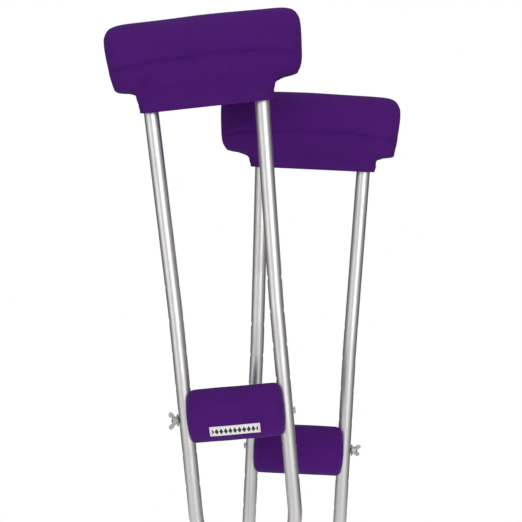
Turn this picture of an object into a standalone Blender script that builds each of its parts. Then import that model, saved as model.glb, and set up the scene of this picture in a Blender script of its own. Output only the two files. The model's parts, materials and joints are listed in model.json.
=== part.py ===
"""A pair of aluminium underarm crutches with padded fabric covers.

Each crutch is modelled upright in a frame of its own that starts at the middle of the underarm
pad's top: X runs across the crutch, -Y to its labelled front and +Z up. A "drop" is a distance
down the crutch from there, so a piece at drop d lies at Z = -d. An empty then turns and leans
the whole crutch, and stands its rubber tip on the floor at Z = 0.
"""

import math

import bmesh
import bpy
from mathutils import Matrix, Vector

GAP = 0.0003  # between pieces that touch
CUTTER_MARGIN = 0.004  # what a cutter reaches past the piece that it drills

# Placing: crutch a stands in front, crutch b behind it, turned half round and set shorter.
PLANE_SPACING = 0.0924
PAD_OFFSET_A = -0.0790
PAD_OFFSET_B = 0.0773
LEAN_A = math.radians(-5.2)
LEAN_B = math.radians(2.65)
LEG_HOLE_A = 4
LEG_HOLE_B = 1

# Side tubes: 3/4 inch tube, parallel at the hand grip, flared above it and bowed in below it.
SIDE_RADIUS = 0.009525
TUBE_WALL = 0.00125
TUBE_SIDES = 12
SIDE_HALF_SPACING = 0.066
SIDE_TOP_DROP = 0.045
FLARE_DROP = 0.365
FLARE = math.radians(1.13)
BOW_DROP = 0.640
BOW_RADIUS = 0.120
BOW_ANGLE = math.radians(20)
BOW_STEPS = 3
SIDE_END_DROP = 0.905

# Centre tube: 1 inch tube between the side tubes' lower ends.
CENTRE_RADIUS = 0.0127
CENTRE_SIDES = 12
CENTRE_TOP_DROP = 0.805
CENTRE_END_DROP = 1.128
BOW_END_HALF_SPACING = CENTRE_RADIUS + SIDE_RADIUS + GAP
BOW_RIVET_DROPS = {"upper": 0.818, "lower": 0.885}
BOW_RIVET_RADIUS = 0.0024
BOW_RIVET_HOLE = 0.0031
BOW_RIVET_HEAD = (0.005, 0.0025)
PLUG_CLEARANCE = 0.0004
BOW_PLUG = (0.008, 0.003)  # skirt inside the tube, rim over its end
CENTRE_CAP = (0.007, 0.004)
COLLAR_WALL = 0.002
COLLAR_HEIGHT = 0.012
COLLAR_LIP = 0.005
COLLAR_CHAMFER = (0.0007, 0.003)

# Leg: 7/8 inch tube that telescopes in the centre tube and locks with two snap buttons.
LEG_RADIUS = 0.0111
LEG_LENGTH = 0.281
LEG_TOP_DROP = 0.900
LEG_PITCH = 0.0254
LEG_HOLES = 7
BUTTON_BELOW_TOP = 0.045
BUTTON_RADIUS = 0.0032
BUTTON_HOLE = 0.0041
BUTTON_REACH = 0.0162
BUTTON_FLANGE_RADIUS = 0.0043
BUTTON_FLANGE = (0.0074, 0.0083)
BUTTON_DOME = 0.0015
SPRING_HALF_GAP = 0.0065
SPRING_STRIP = (0.0070, 0.0007)
SPRING_LENGTH = 0.045
SPRING_STEPS = 5
SPRING_ABOVE_BUTTON = 0.004
TIP_BORE = 0.0114
TIP_FLOOR_TOP = 0.0021
TIP_SOLE = 0.0124
TIP_SOLE_RADIUS = 0.023
TIP_SIDES = 16
TIP_SOLE_LIP = (0.001, 0.0016, 0.0065)  # how far it stands out, from where, up to where
TIP_BODY = ((0.0195, 0.001), (0.0168, 0.010), (0.0155, 0.020), (0.0152, 0.034), (0.0145, 0.040))
TIP_WASHER_HOLE = 0.004

# Hand grip, bolted through the side tubes in one of seven holes.
GRIP_DROP = 0.511
GRIP_PITCH = 0.04445
GRIP_HOLES_UP = 4
GRIP_HOLES_DOWN = 2
GRIP_CORE = (0.0037, 0.0150, 0.060)
GRIP_FOAM = (0.0153, 0.0230, 0.0615)
GRIP_COVER = (0.0233, 0.0345, 0.063)
GRIP_COVER_EDGE = 0.004
GRIP_SIDES = 16
SADDLE_RADIUS = SIDE_RADIUS + 0.0004
LABEL_WIDTH = 0.067
LABEL_SHIFT = -0.0028
LABEL_THICKNESS = 0.0005
LABEL_ANGLES = (math.radians(193), math.radians(223))
LABEL_STEPS = 4

# Grip bolt, washer and wing nut; the bolt holds the tubes with a little slack.
BOLT_RADIUS = 0.003175
BOLT_HOLE = 0.0039
BOLT_SLACK = 0.001
BOLT_SEAT = SIDE_HALF_SPACING + SIDE_RADIUS + BOLT_SLACK
BOLT_HEAD_RADIUS = 0.007
BOLT_HEAD_HEIGHT = 0.0032
WASHER_RADIUS = 0.008
WASHER_THICKNESS = 0.0016
NUT_BORE = 0.0036
NUT_HEIGHT = 0.007
NUT_BASE_RADIUS = 0.0055
NUT_TOP_RADIUS = 0.0046
NUT_TURN = math.radians(32)
EAR_THICKNESS = 0.0026
EAR_TIP = (0.0100, 0.0082)
EAR_TIP_RADIUS = 0.0034
EAR_STEPS = 5
EAR_ROOT_IN_HUB = 0.0005
EAR_ROOT = (0.0008, 0.0058)  # where a wing meets the hub, up from its base
EAR_ARC = (math.radians(-60), math.radians(130))

# Underarm pad: rigid crosspiece, foam over it and fabric cover with a skirt round the tubes.
PAD_HALF_WIDTH = 0.125
PAD_HALF_DEPTH = 0.0355
PAD_CROWN = 0.032
PAD_CROWN_FLAT = 0.35
PAD_SHOULDER = 0.018
PAD_CORNER = 0.024
PAD_MIDDLE = 0.045
SKIRT_HALF_WIDTH = 0.0853
SKIRT_HALF_DEPTH = 0.015
SKIRT_STEP = (0.070, 0.102)
SKIRT_TAPER = (0.045, 0.110)
HEM_DROP = 0.116
COVER_WALL = 0.004
COVER_DROPS = (0.0, 0.003, 0.009, 0.018, 0.032, 0.046, 0.056, 0.070, 0.079, 0.086, 0.093, 0.102)
RING_STEPS = 3
FOAM_INSET = COVER_WALL + 0.0005
FOAM_END_DROP = 0.056
FOAM_DROPS = (0.0, 0.003, 0.009, 0.018, 0.032, 0.046)
SLOT_HALF = (0.1131, 0.0195)
SLOT_TOP_DROP = 0.0215
CROSSPIECE_HALF = (0.1125, 0.019)
CROSSPIECE_DROPS = (0.022, 0.040)
SOCKET_RADIUS = 0.013
SOCKET_DROPS = (0.036, 0.075)
SOCKET_RIVET_DROP = 0.062
SOCKET_RIVET_RADIUS = 0.002
SOCKET_RIVET_HOLE = 0.0027
SOCKET_RIVET_HEAD = (0.004, 0.002)
SOCKET_CLEARANCE = 0.0007
SOCKET_BORE_SIDES = 16

X_AXIS = Vector((1, 0, 0))
Y_AXIS = Vector((0, 1, 0))
TURN_Z_TO_X = Matrix.Rotation(math.pi / 2, 4, "Y")
TURN_Z_TO_Y = Matrix.Rotation(-math.pi / 2, 4, "X")


def clear_scene():
    for item in list(bpy.data.objects):
        bpy.data.objects.remove(item)


def material(name, colour, roughness, metallic=0.0):
    """A Principled material with the given colour, roughness and metallic value."""
    made = bpy.data.materials.new(name)
    made.use_nodes = True
    shader = made.node_tree.nodes["Principled BSDF"]
    shader.inputs["Base Color"].default_value = (*colour, 1.0)
    shader.inputs["Roughness"].default_value = roughness
    shader.inputs["Metallic"].default_value = metallic
    made.diffuse_color = (*colour, 1.0)
    return made


def make_materials():
    return {
        "aluminium": material("aluminium", (0.66, 0.66, 0.65), 0.35, 1.0),
        "steel": material("steel", (0.45, 0.45, 0.44), 0.35, 1.0),
        "fabric": material("purple_fabric", (0.070, 0.012, 0.155), 0.9),
        "label": material("white_label", (0.85, 0.85, 0.84), 0.8),
        "foam": material("foam", (0.30, 0.30, 0.30), 0.95),
        "plastic": material("grey_plastic", (0.10, 0.10, 0.10), 0.5),
        "rubber": material("grey_rubber", (0.16, 0.16, 0.16), 0.85),
    }


def add_object(name, bm, surface, parent, location=(0, 0, 0)):
    """Turns the bmesh into a smooth-shaded object with outward faces under its parent."""
    bm.normal_update()
    bmesh.ops.recalc_face_normals(bm, faces=bm.faces[:])
    mesh = bpy.data.meshes.new(name)
    bm.to_mesh(mesh)
    bm.free()
    mesh.shade_smooth()
    mesh.set_sharp_from_angle(angle=math.radians(40))
    made = bpy.data.objects.new(name, mesh)
    if surface:
        mesh.materials.append(surface)
    made.parent = parent
    made.location = location
    bpy.context.scene.collection.objects.link(made)
    return made


def add_empty(name, parent=None, location=(0, 0, 0)):
    made = bpy.data.objects.new(name, None)
    made.parent = parent
    made.location = location
    bpy.context.scene.collection.objects.link(made)
    return made


def loft(rings, looped=False):
    """Skins a list of rings with equal point counts; the ends are capped, or joined if looped."""
    bm = bmesh.new()
    loops = [[bm.verts.new(point) for point in ring] for ring in rings]
    count = len(loops[0])
    following = loops[1:] + loops[:1] if looped else loops[1:]
    for ring, after in zip(loops, following):
        for i in range(count):
            j = (i + 1) % count
            bm.faces.new((ring[i], ring[j], after[j], after[i]))
    if not looped:
        bm.faces.new(loops[0])
        bm.faces.new(loops[-1])
    return bm


def turned(profile, sides, looped=False, turn=Matrix.Identity(4)):
    """Spins a profile of (radius, height) points round Z, then turns the solid with a matrix."""
    bm = bmesh.new()
    points = [bm.verts.new((radius, 0, height)) for radius, height in profile]
    pairs = list(zip(points, points[1:]))
    if looped:
        pairs.append((points[-1], points[0]))
    edges = [bm.edges.new(pair) for pair in pairs]
    geometry = points + edges
    full = 2 * math.pi
    bmesh.ops.spin(bm, geom=geometry, cent=(0, 0, 0), axis=(0, 0, 1), angle=full, steps=sides)
    bmesh.ops.remove_doubles(bm, verts=bm.verts[:], dist=0.000001)
    bm.transform(turn)
    return bm


def drill(target, holes, sides=6):
    """Cuts round holes, each given as (centre, axis, radius, length), with one Boolean."""
    bm = bmesh.new()
    for centre, axis, radius, length in holes:
        turn = Vector((0, 0, 1)).rotation_difference(axis).to_matrix().to_4x4()
        place = Matrix.Translation(centre) @ turn
        bmesh.ops.create_cone(
            bm, cap_ends=True, segments=sides, radius1=radius, radius2=radius, depth=length, matrix=place
        )
    cutter = add_object("cutter_" + target.name, bm, None, target.parent, target.location)
    combine(target, cutter, "DIFFERENCE")


def combine(target, other, operation):
    """Adds a Boolean to the target, and hides the other object as a helper."""
    other.hide_render = True
    other.display_type = "WIRE"
    modifier = target.modifiers.new(operation.lower(), "BOOLEAN")
    modifier.operation = operation
    modifier.solver = "EXACT"
    modifier.object = other


def ease(value, start, end):
    """Rises smoothly from 0 at start to 1 at end."""
    part = min(max((value - start) / (end - start), 0.0), 1.0)
    return part * part * (3 - 2 * part)


def side_offset(drop):
    """How far the straight upper part of a side tube's axis lies from the middle."""
    return SIDE_HALF_SPACING + max(FLARE_DROP - drop, 0.0) * math.tan(FLARE)


def side_tube_axis():
    """Points (x, z) down the right side tube: flared, parallel, bowed in and parallel again."""
    points = [(side_offset(drop), -drop) for drop in (SIDE_TOP_DROP, FLARE_DROP)]
    arc_shift = BOW_RADIUS * (1 - math.cos(BOW_ANGLE))
    arc_fall = BOW_RADIUS * math.sin(BOW_ANGLE)
    slant_shift = SIDE_HALF_SPACING - BOW_END_HALF_SPACING - 2 * arc_shift
    slant_fall = slant_shift / math.tan(BOW_ANGLE)
    bow_end = BOW_DROP + 2 * arc_fall + slant_fall
    for step in range(BOW_STEPS + 1):
        angle = BOW_ANGLE * step / BOW_STEPS
        inward = BOW_RADIUS * (1 - math.cos(angle))
        points.append((SIDE_HALF_SPACING - inward, -BOW_DROP - BOW_RADIUS * math.sin(angle)))
    for step in range(BOW_STEPS, -1, -1):
        angle = BOW_ANGLE * step / BOW_STEPS
        outward = BOW_RADIUS * (1 - math.cos(angle))
        points.append((BOW_END_HALF_SPACING + outward, -bow_end + BOW_RADIUS * math.sin(angle)))
    points.append((BOW_END_HALF_SPACING, -SIDE_END_DROP))
    return points


def tube_rings(axis, radius, sides):
    """Rings round an axis that runs in the XZ plane, each square to the axis there."""
    rings = []
    for i, (x, z) in enumerate(axis):
        before = Vector(axis[max(i - 1, 0)])
        after = Vector(axis[min(i + 1, len(axis) - 1)])
        along = (after - before).normalized()
        across = Vector((along.y, 0, -along.x))
        centre = Vector((x, 0, z))
        turns = [2 * math.pi * k / sides for k in range(sides)]
        ring = [centre + radius * (math.cos(t) * across + math.sin(t) * Y_AXIS) for t in turns]
        rings.append(ring)
    return rings


def tube(axis, radius, sides):
    """An open-ended tube wall along an axis of (x, z) points."""
    outer = tube_rings(axis, radius, sides)
    inner = tube_rings(axis, radius - TUBE_WALL, sides)
    return loft(outer + inner[::-1], looped=True)


def rounded_ring(half_width, half_depth, corner, drop):
    """A level rectangle with rounded corners."""
    corner = min(corner, 0.9 * half_depth)
    ring = []
    for quarter, (side, face) in enumerate(((1, 1), (-1, 1), (-1, -1), (1, -1))):
        for step in range(RING_STEPS + 1):
            angle = (quarter + step / RING_STEPS) * math.pi / 2
            x = side * (half_width - corner) + corner * math.cos(angle)
            y = face * (half_depth - corner) + corner * math.sin(angle)
            ring.append(Vector((x, y, -drop)))
    return ring


def pad_ring(drop, inset=0.0):
    """The covered pad's section: a crowned top, square shoulders, and a step in to the skirt."""
    outside = max(drop - inset, 0.0) if drop < PAD_MIDDLE else min(drop + inset, HEM_DROP)
    shoulder = 1 - min(outside / PAD_SHOULDER, 1.0)
    crown = 1 - min(outside / PAD_CROWN, 1.0)
    half_width = PAD_HALF_WIDTH - PAD_SHOULDER * (1 - math.sqrt(1 - shoulder**2))
    half_width -= (PAD_HALF_WIDTH - SKIRT_HALF_WIDTH) * ease(outside, *SKIRT_STEP)
    roundness = PAD_CROWN_FLAT + (1 - PAD_CROWN_FLAT) * math.sqrt(1 - crown**2)
    half_depth = PAD_HALF_DEPTH * roundness
    half_depth -= (PAD_HALF_DEPTH - SKIRT_HALF_DEPTH) * ease(outside, *SKIRT_TAPER)
    return rounded_ring(half_width - inset, half_depth - inset, PAD_CORNER - inset, drop)


def make_side_tube(side, suffix, surfaces, crutch):
    """One bowed tube, drilled for the grip bolt, the bow's rivets and its socket's rivet."""
    name = "side_tube_left" if side < 0 else "side_tube_right"
    axis = [(side * x, z) for x, z in side_tube_axis()]
    made = add_object(name + suffix, tube(axis, SIDE_RADIUS, TUBE_SIDES), surfaces["aluminium"], crutch)
    through = 2 * SIDE_RADIUS + CUTTER_MARGIN
    holes = []
    for hole in range(-GRIP_HOLES_DOWN, GRIP_HOLES_UP + 1):
        drop = GRIP_DROP - hole * GRIP_PITCH
        holes.append((Vector((side * side_offset(drop), 0, -drop)), X_AXIS, BOLT_HOLE, through))
    for drop in BOW_RIVET_DROPS.values():
        centre = Vector((side * BOW_END_HALF_SPACING, 0, -drop))
        holes.append((centre, X_AXIS, BOW_RIVET_HOLE, through))
    socket = Vector((side * side_offset(SOCKET_RIVET_DROP), 0, -SOCKET_RIVET_DROP))
    holes.append((socket, Y_AXIS, SOCKET_RIVET_HOLE, through))
    drill(made, holes)


def plug_profile(tube_radius, skirt, rim):
    """A domed end plug, lying upwards: a skirt inside the tube and a rim over its end."""
    inside = tube_radius - TUBE_WALL - PLUG_CLEARANCE
    return (
        (0, -skirt),
        (inside, -skirt),
        (inside, GAP),
        (tube_radius, GAP),
        (tube_radius, GAP + 0.5 * rim),
        (0.75 * tube_radius, GAP + 0.9 * rim),
        (0, GAP + rim),
    )


def make_bow_plug(side, suffix, surfaces, crutch):
    """Closes a side tube's lower end."""
    name = "bow_plug_left" if side < 0 else "bow_plug_right"
    upside_down = Matrix.Rotation(math.pi, 4, "X")
    bm = turned(plug_profile(SIDE_RADIUS, *BOW_PLUG), TUBE_SIDES, turn=upside_down)
    foot = (side * BOW_END_HALF_SPACING, 0, -SIDE_END_DROP)
    add_object(name + suffix, bm, surfaces["plastic"], crutch, foot)


def make_centre_tube(suffix, surfaces, crutch):
    """The tube that the bow is riveted to, with a row of button holes front and back."""
    axis = [(0, -CENTRE_TOP_DROP), (0, -CENTRE_END_DROP)]
    bm = tube(axis, CENTRE_RADIUS, CENTRE_SIDES)
    made = add_object("centre_tube" + suffix, bm, surfaces["aluminium"], crutch)
    through = 2 * CENTRE_RADIUS + CUTTER_MARGIN
    holes = []
    for hole in range(LEG_HOLES):
        drop = LEG_TOP_DROP + BUTTON_BELOW_TOP + hole * LEG_PITCH
        holes.append((Vector((0, 0, -drop)), Y_AXIS, BUTTON_HOLE, through))
    for drop in BOW_RIVET_DROPS.values():
        holes.append((Vector((0, 0, -drop)), X_AXIS, BOW_RIVET_HOLE, through))
    drill(made, holes)
    cap = turned(plug_profile(CENTRE_RADIUS, *CENTRE_CAP), CENTRE_SIDES)
    top = (0, 0, -CENTRE_TOP_DROP)
    add_object("centre_tube_cap" + suffix, cap, surfaces["plastic"], crutch, top)


def rivet_profile(shank, half_grip, head, rise):
    """A shank with a round head outside each end of what it holds."""
    lower = ((0, -half_grip - rise), (0.6 * head, -half_grip - 0.8 * rise), (head, -half_grip))
    upper = tuple((radius, -height) for radius, height in reversed(lower))
    return lower + ((shank, -half_grip), (shank, half_grip)) + upper


def make_bow_rivet(place, suffix, surfaces, crutch):
    """Holds both side tubes to the centre tube."""
    half_grip = BOW_END_HALF_SPACING + SIDE_RADIUS + GAP
    profile = rivet_profile(BOW_RIVET_RADIUS, half_grip, *BOW_RIVET_HEAD)
    bm = turned(profile, 10, turn=TURN_Z_TO_X)
    middle = (0, 0, -BOW_RIVET_DROPS[place])
    add_object("bow_rivet_" + place + suffix, bm, surfaces["steel"], crutch, middle)


def make_lower_collar(suffix, surfaces, crutch):
    """A plastic ring on the centre tube's lower end that guides the leg."""
    over_tube = CENTRE_RADIUS + GAP
    over_leg = LEG_RADIUS + GAP
    outside = over_tube + COLLAR_WALL
    cut_in, cut_down = COLLAR_CHAMFER
    profile = (
        (over_tube, COLLAR_HEIGHT),
        (outside - cut_in, COLLAR_HEIGHT),
        (outside, COLLAR_HEIGHT - cut_down),
        (outside, cut_down - COLLAR_LIP),
        (outside - cut_in, -COLLAR_LIP),
        (over_leg, -COLLAR_LIP),
        (over_leg, -GAP),
        (over_tube, -GAP),
    )
    bm = turned(profile, CENTRE_SIDES, looped=True)
    end = (0, 0, -CENTRE_END_DROP)
    add_object("lower_collar" + suffix, bm, surfaces["plastic"], crutch, end)


def make_crosspiece(suffix, surfaces, crutch):
    """The rigid bar under the arm, with two blind sockets for the side tubes."""
    bar = loft([rounded_ring(*CROSSPIECE_HALF, CROSSPIECE_HALF[1], drop) for drop in CROSSPIECE_DROPS])
    made = add_object("underarm_crosspiece" + suffix, bar, surfaces["plastic"], crutch)
    sockets = bmesh.new()
    for side in (-1, 1):
        axis = [(side * side_offset(drop), -drop) for drop in SOCKET_DROPS]
        solid = loft(tube_rings(axis, SOCKET_RADIUS, TUBE_SIDES))
        mesh = bpy.data.meshes.new("socket")
        solid.to_mesh(mesh)
        solid.free()
        sockets.from_mesh(mesh)
        bpy.data.meshes.remove(mesh)
    union = add_object("union_underarm_crosspiece" + suffix, sockets, None, crutch)
    combine(made, union, "UNION")
    bore_top = SIDE_TOP_DROP - GAP
    bore_end = SOCKET_DROPS[1] + CUTTER_MARGIN
    bore_radius = SIDE_RADIUS + SOCKET_CLEARANCE
    bores = []
    for side in (-1, 1):
        upper = Vector((side * side_offset(bore_top), 0, -bore_top))
        lower = Vector((side * side_offset(bore_end), 0, -bore_end))
        bores.append(((upper + lower) / 2, upper - lower, bore_radius, (upper - lower).length))
    drill(made, bores, sides=SOCKET_BORE_SIDES)
    through = 2 * SOCKET_RADIUS + CUTTER_MARGIN
    holes = []
    for side in (-1, 1):
        centre = Vector((side * side_offset(SOCKET_RIVET_DROP), 0, -SOCKET_RIVET_DROP))
        holes.append((centre, Y_AXIS, SOCKET_RIVET_HOLE, through))
    drill(made, holes)


def make_socket_rivet(side, suffix, surfaces, crutch):
    """Pins a side tube in its socket."""
    name = "socket_rivet_left" if side < 0 else "socket_rivet_right"
    profile = rivet_profile(SOCKET_RIVET_RADIUS, SOCKET_RADIUS + GAP, *SOCKET_RIVET_HEAD)
    bm = turned(profile, 8, turn=TURN_Z_TO_Y)
    centre = (side * side_offset(SOCKET_RIVET_DROP), 0, -SOCKET_RIVET_DROP)
    add_object(name + suffix, bm, surfaces["steel"], crutch, centre)


def make_underarm_pad(suffix, surfaces, crutch):
    """The foam over the crosspiece, and the cover that hangs round both like a loose sock."""
    slot = [rounded_ring(*SLOT_HALF, SLOT_HALF[1], drop) for drop in (SLOT_TOP_DROP, FOAM_END_DROP)]
    foam_drops = [FOAM_END_DROP] + [drop + FOAM_INSET for drop in reversed(FOAM_DROPS)]
    foam = loft(slot + [pad_ring(drop, FOAM_INSET) for drop in foam_drops])
    add_object("underarm_foam" + suffix, foam, surfaces["foam"], crutch)
    inner = [pad_ring(drop + COVER_WALL, COVER_WALL) for drop in COVER_DROPS]
    inner.append(pad_ring(HEM_DROP, COVER_WALL))
    outer = [pad_ring(drop) for drop in COVER_DROPS] + [pad_ring(HEM_DROP)]
    cover = loft(inner + outer[::-1])
    add_object("underarm_cover" + suffix, cover, surfaces["fabric"], crutch)


def make_grip_layer(name, sizes, edge, surface, grip):
    """One layer of the hand grip: a thick sleeve along X whose ends cup the side tubes."""
    bore, radius, half_length = sizes
    profile = [(bore, -half_length), (radius - edge, -half_length), (radius, edge - half_length)]
    if edge == 0:
        profile.pop()
    profile += [(r, -x) for r, x in reversed(profile)]
    made = add_object(name, turned(profile, GRIP_SIDES, looped=True, turn=TURN_Z_TO_X), surface, grip)
    saddles = []
    for side in (-1, 1):
        centre = Vector((side * SIDE_HALF_SPACING, 0, 0))
        saddles.append((centre, Vector((0, 0, 1)), SADDLE_RADIUS, 2 * radius + CUTTER_MARGIN))
    drill(made, saddles, sides=TUBE_SIDES)


def make_grip_label(suffix, surfaces, grip):
    """A woven label on the sleeve's lower front, curved with it."""
    inside = GRIP_COVER[1] + GAP
    outside = inside + LABEL_THICKNESS
    start, end = LABEL_ANGLES
    turns = [start + (end - start) * step / LABEL_STEPS for step in range(LABEL_STEPS + 1)]
    rings = []
    for x in (LABEL_SHIFT - LABEL_WIDTH / 2, LABEL_SHIFT + LABEL_WIDTH / 2):
        front = [Vector((x, outside * math.cos(t), outside * math.sin(t))) for t in turns]
        back = [Vector((x, inside * math.cos(t), inside * math.sin(t))) for t in reversed(turns)]
        rings.append(front + back)
    add_object("grip_label" + suffix, loft(rings), surfaces["label"], grip)


def make_grip_bolt(suffix, surfaces, grip):
    """A round-headed bolt: its head outside the right tube, its thread end in the wing nut."""
    thread_end = BOLT_SEAT + WASHER_THICKNESS + NUT_HEIGHT + GAP
    profile = (
        (0, -thread_end),
        (BOLT_RADIUS, -thread_end),
        (BOLT_RADIUS, BOLT_SEAT),
        (BOLT_HEAD_RADIUS, BOLT_SEAT),
        (BOLT_HEAD_RADIUS, BOLT_SEAT + 0.35 * BOLT_HEAD_HEIGHT),
        (0.6 * BOLT_HEAD_RADIUS, BOLT_SEAT + 0.85 * BOLT_HEAD_HEIGHT),
        (0, BOLT_SEAT + BOLT_HEAD_HEIGHT),
    )
    bm = turned(profile, 12, turn=TURN_Z_TO_X)
    add_object("grip_bolt" + suffix, bm, surfaces["steel"], grip)


def make_grip_washer(suffix, surfaces, grip):
    """Lies between the left tube and the wing nut."""
    half = WASHER_THICKNESS / 2
    profile = ((NUT_BORE, -half), (WASHER_RADIUS, -half), (WASHER_RADIUS, half), (NUT_BORE, half))
    bm = turned(profile, 12, looped=True, turn=TURN_Z_TO_X)
    add_object("grip_washer" + suffix, bm, surfaces["steel"], grip, (-BOLT_SEAT - half, 0, 0))


def ear_outline(side):
    """A wing's outline (radial, axial): straight up from the hub to a round tip."""
    reach, rise = EAR_TIP
    root = NUT_BORE + EAR_ROOT_IN_HUB
    root_start, root_end = EAR_ROOT
    arc_start, arc_end = EAR_ARC
    points = [(root, root_start)]
    for step in range(EAR_STEPS + 1):
        angle = arc_start + (arc_end - arc_start) * step / EAR_STEPS
        radial = reach + EAR_TIP_RADIUS * math.cos(angle)
        points.append((radial, rise + EAR_TIP_RADIUS * math.sin(angle)))
    points.append((root, root_end))
    return [(side * radial, axial) for radial, axial in points]


def make_wing_nut(suffix, surfaces, grip):
    """A cone-shaped hub with two wings that splay away from the tube."""
    hub = ((NUT_BORE, 0), (NUT_BASE_RADIUS, 0), (NUT_TOP_RADIUS, NUT_HEIGHT), (NUT_BORE, NUT_HEIGHT))
    outwards = Matrix.Rotation(-math.pi / 2, 4, "Y") @ Matrix.Rotation(NUT_TURN, 4, "Z")
    base = (-BOLT_SEAT - WASHER_THICKNESS - GAP, 0, 0)
    bm = turned(hub, 12, looped=True, turn=outwards)
    made = add_object("wing_nut" + suffix, bm, surfaces["steel"], grip, base)
    half = EAR_THICKNESS / 2
    for side, name in ((-1, "first"), (1, "second")):
        outline = ear_outline(side)
        rings = [[Vector((radial, face, axial)) for radial, axial in outline] for face in (-half, half)]
        wing = loft(rings)
        wing.transform(outwards)
        helper = add_object("union_" + name + "_wing" + suffix, wing, None, grip, base)
        combine(made, helper, "UNION")


def make_leg_tube(suffix, surfaces, leg):
    """The telescoping tube; the leg's empty lies at its top."""
    bm = tube([(0, 0), (0, -LEG_LENGTH)], LEG_RADIUS, CENTRE_SIDES)
    made = add_object("leg_tube" + suffix, bm, surfaces["aluminium"], leg)
    centre = Vector((0, 0, -BUTTON_BELOW_TOP))
    drill(made, [(centre, Y_AXIS, BUTTON_HOLE, 2 * LEG_RADIUS + CUTTER_MARGIN)])


def make_snap_button(side, suffix, surfaces, leg):
    """A pin with an inner flange that stands out through both tubes."""
    name = "snap_button_front" if side < 0 else "snap_button_back"
    flange_inner, flange_outer = BUTTON_FLANGE
    profile = (
        (0, flange_inner),
        (BUTTON_FLANGE_RADIUS, flange_inner),
        (BUTTON_FLANGE_RADIUS, flange_outer),
        (BUTTON_RADIUS, flange_outer),
        (BUTTON_RADIUS, BUTTON_REACH - BUTTON_DOME),
        (0.6 * BUTTON_RADIUS, BUTTON_REACH - 0.2 * BUTTON_DOME),
        (0, BUTTON_REACH),
    )
    outwards = Matrix.Rotation(-side * math.pi / 2, 4, "X")
    bm = turned(profile, 10, turn=outwards)
    add_object(name + suffix, bm, surfaces["steel"], leg, (0, 0, -BUTTON_BELOW_TOP))


def make_button_spring(suffix, surfaces, leg):
    """A hairpin of flat spring steel inside the leg, with an arm behind each button."""
    width, thickness = SPRING_STRIP
    bend_start = SPRING_HALF_GAP - SPRING_LENGTH
    axis = [(SPRING_HALF_GAP, SPRING_ABOVE_BUTTON), (SPRING_HALF_GAP, bend_start)]
    for step in range(1, SPRING_STEPS):
        angle = math.pi * step / SPRING_STEPS
        bend = bend_start - SPRING_HALF_GAP * math.sin(angle)
        axis.append((SPRING_HALF_GAP * math.cos(angle), bend))
    axis += [(-SPRING_HALF_GAP, bend_start), (-SPRING_HALF_GAP, SPRING_ABOVE_BUTTON)]
    rings = []
    for i, point in enumerate(axis):
        along = (Vector(axis[min(i + 1, len(axis) - 1)]) - Vector(axis[max(i - 1, 0)])).normalized()
        across = Vector((0, along.y, -along.x)) * thickness / 2
        middle = Vector((0, *point))
        sideways = X_AXIS * width / 2
        corners = (across + sideways, across - sideways, -across - sideways, -across + sideways)
        rings.append([middle + corner for corner in corners])
    add_object("button_spring" + suffix, loft(rings), surfaces["steel"], leg, (0, 0, -BUTTON_BELOW_TOP))


def make_rubber_tip(suffix, surfaces, leg):
    """A flared rubber foot over the leg's end, and the steel washer under the leg in it."""
    lip, lip_start, lip_end = TIP_SOLE_LIP
    profile = (
        (0, -TIP_SOLE),
        (TIP_SOLE_RADIUS, -TIP_SOLE),
        (TIP_SOLE_RADIUS + lip, lip_start - TIP_SOLE),
        (TIP_SOLE_RADIUS + lip, lip_end - TIP_SOLE),
        *TIP_BODY,
        (TIP_BORE, TIP_BODY[-1][1]),
        (TIP_BORE, -TIP_FLOOR_TOP),
        (0, -TIP_FLOOR_TOP),
    )
    foot = (0, 0, -LEG_LENGTH)
    add_object("rubber_tip" + suffix, turned(profile, TIP_SIDES), surfaces["rubber"], leg, foot)
    rim = LEG_RADIUS - GAP
    top, bottom = -GAP, GAP - TIP_FLOOR_TOP
    washer = ((TIP_WASHER_HOLE, bottom), (rim, bottom), (rim, top), (TIP_WASHER_HOLE, top))
    bm = turned(washer, CENTRE_SIDES, looped=True)
    add_object("tip_washer" + suffix, bm, surfaces["steel"], leg, foot)


def crutch_length(leg_hole):
    """From the pad's top to the sole, along the crutch."""
    return LEG_TOP_DROP + leg_hole * LEG_PITCH + LEG_LENGTH + TIP_SOLE


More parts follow.
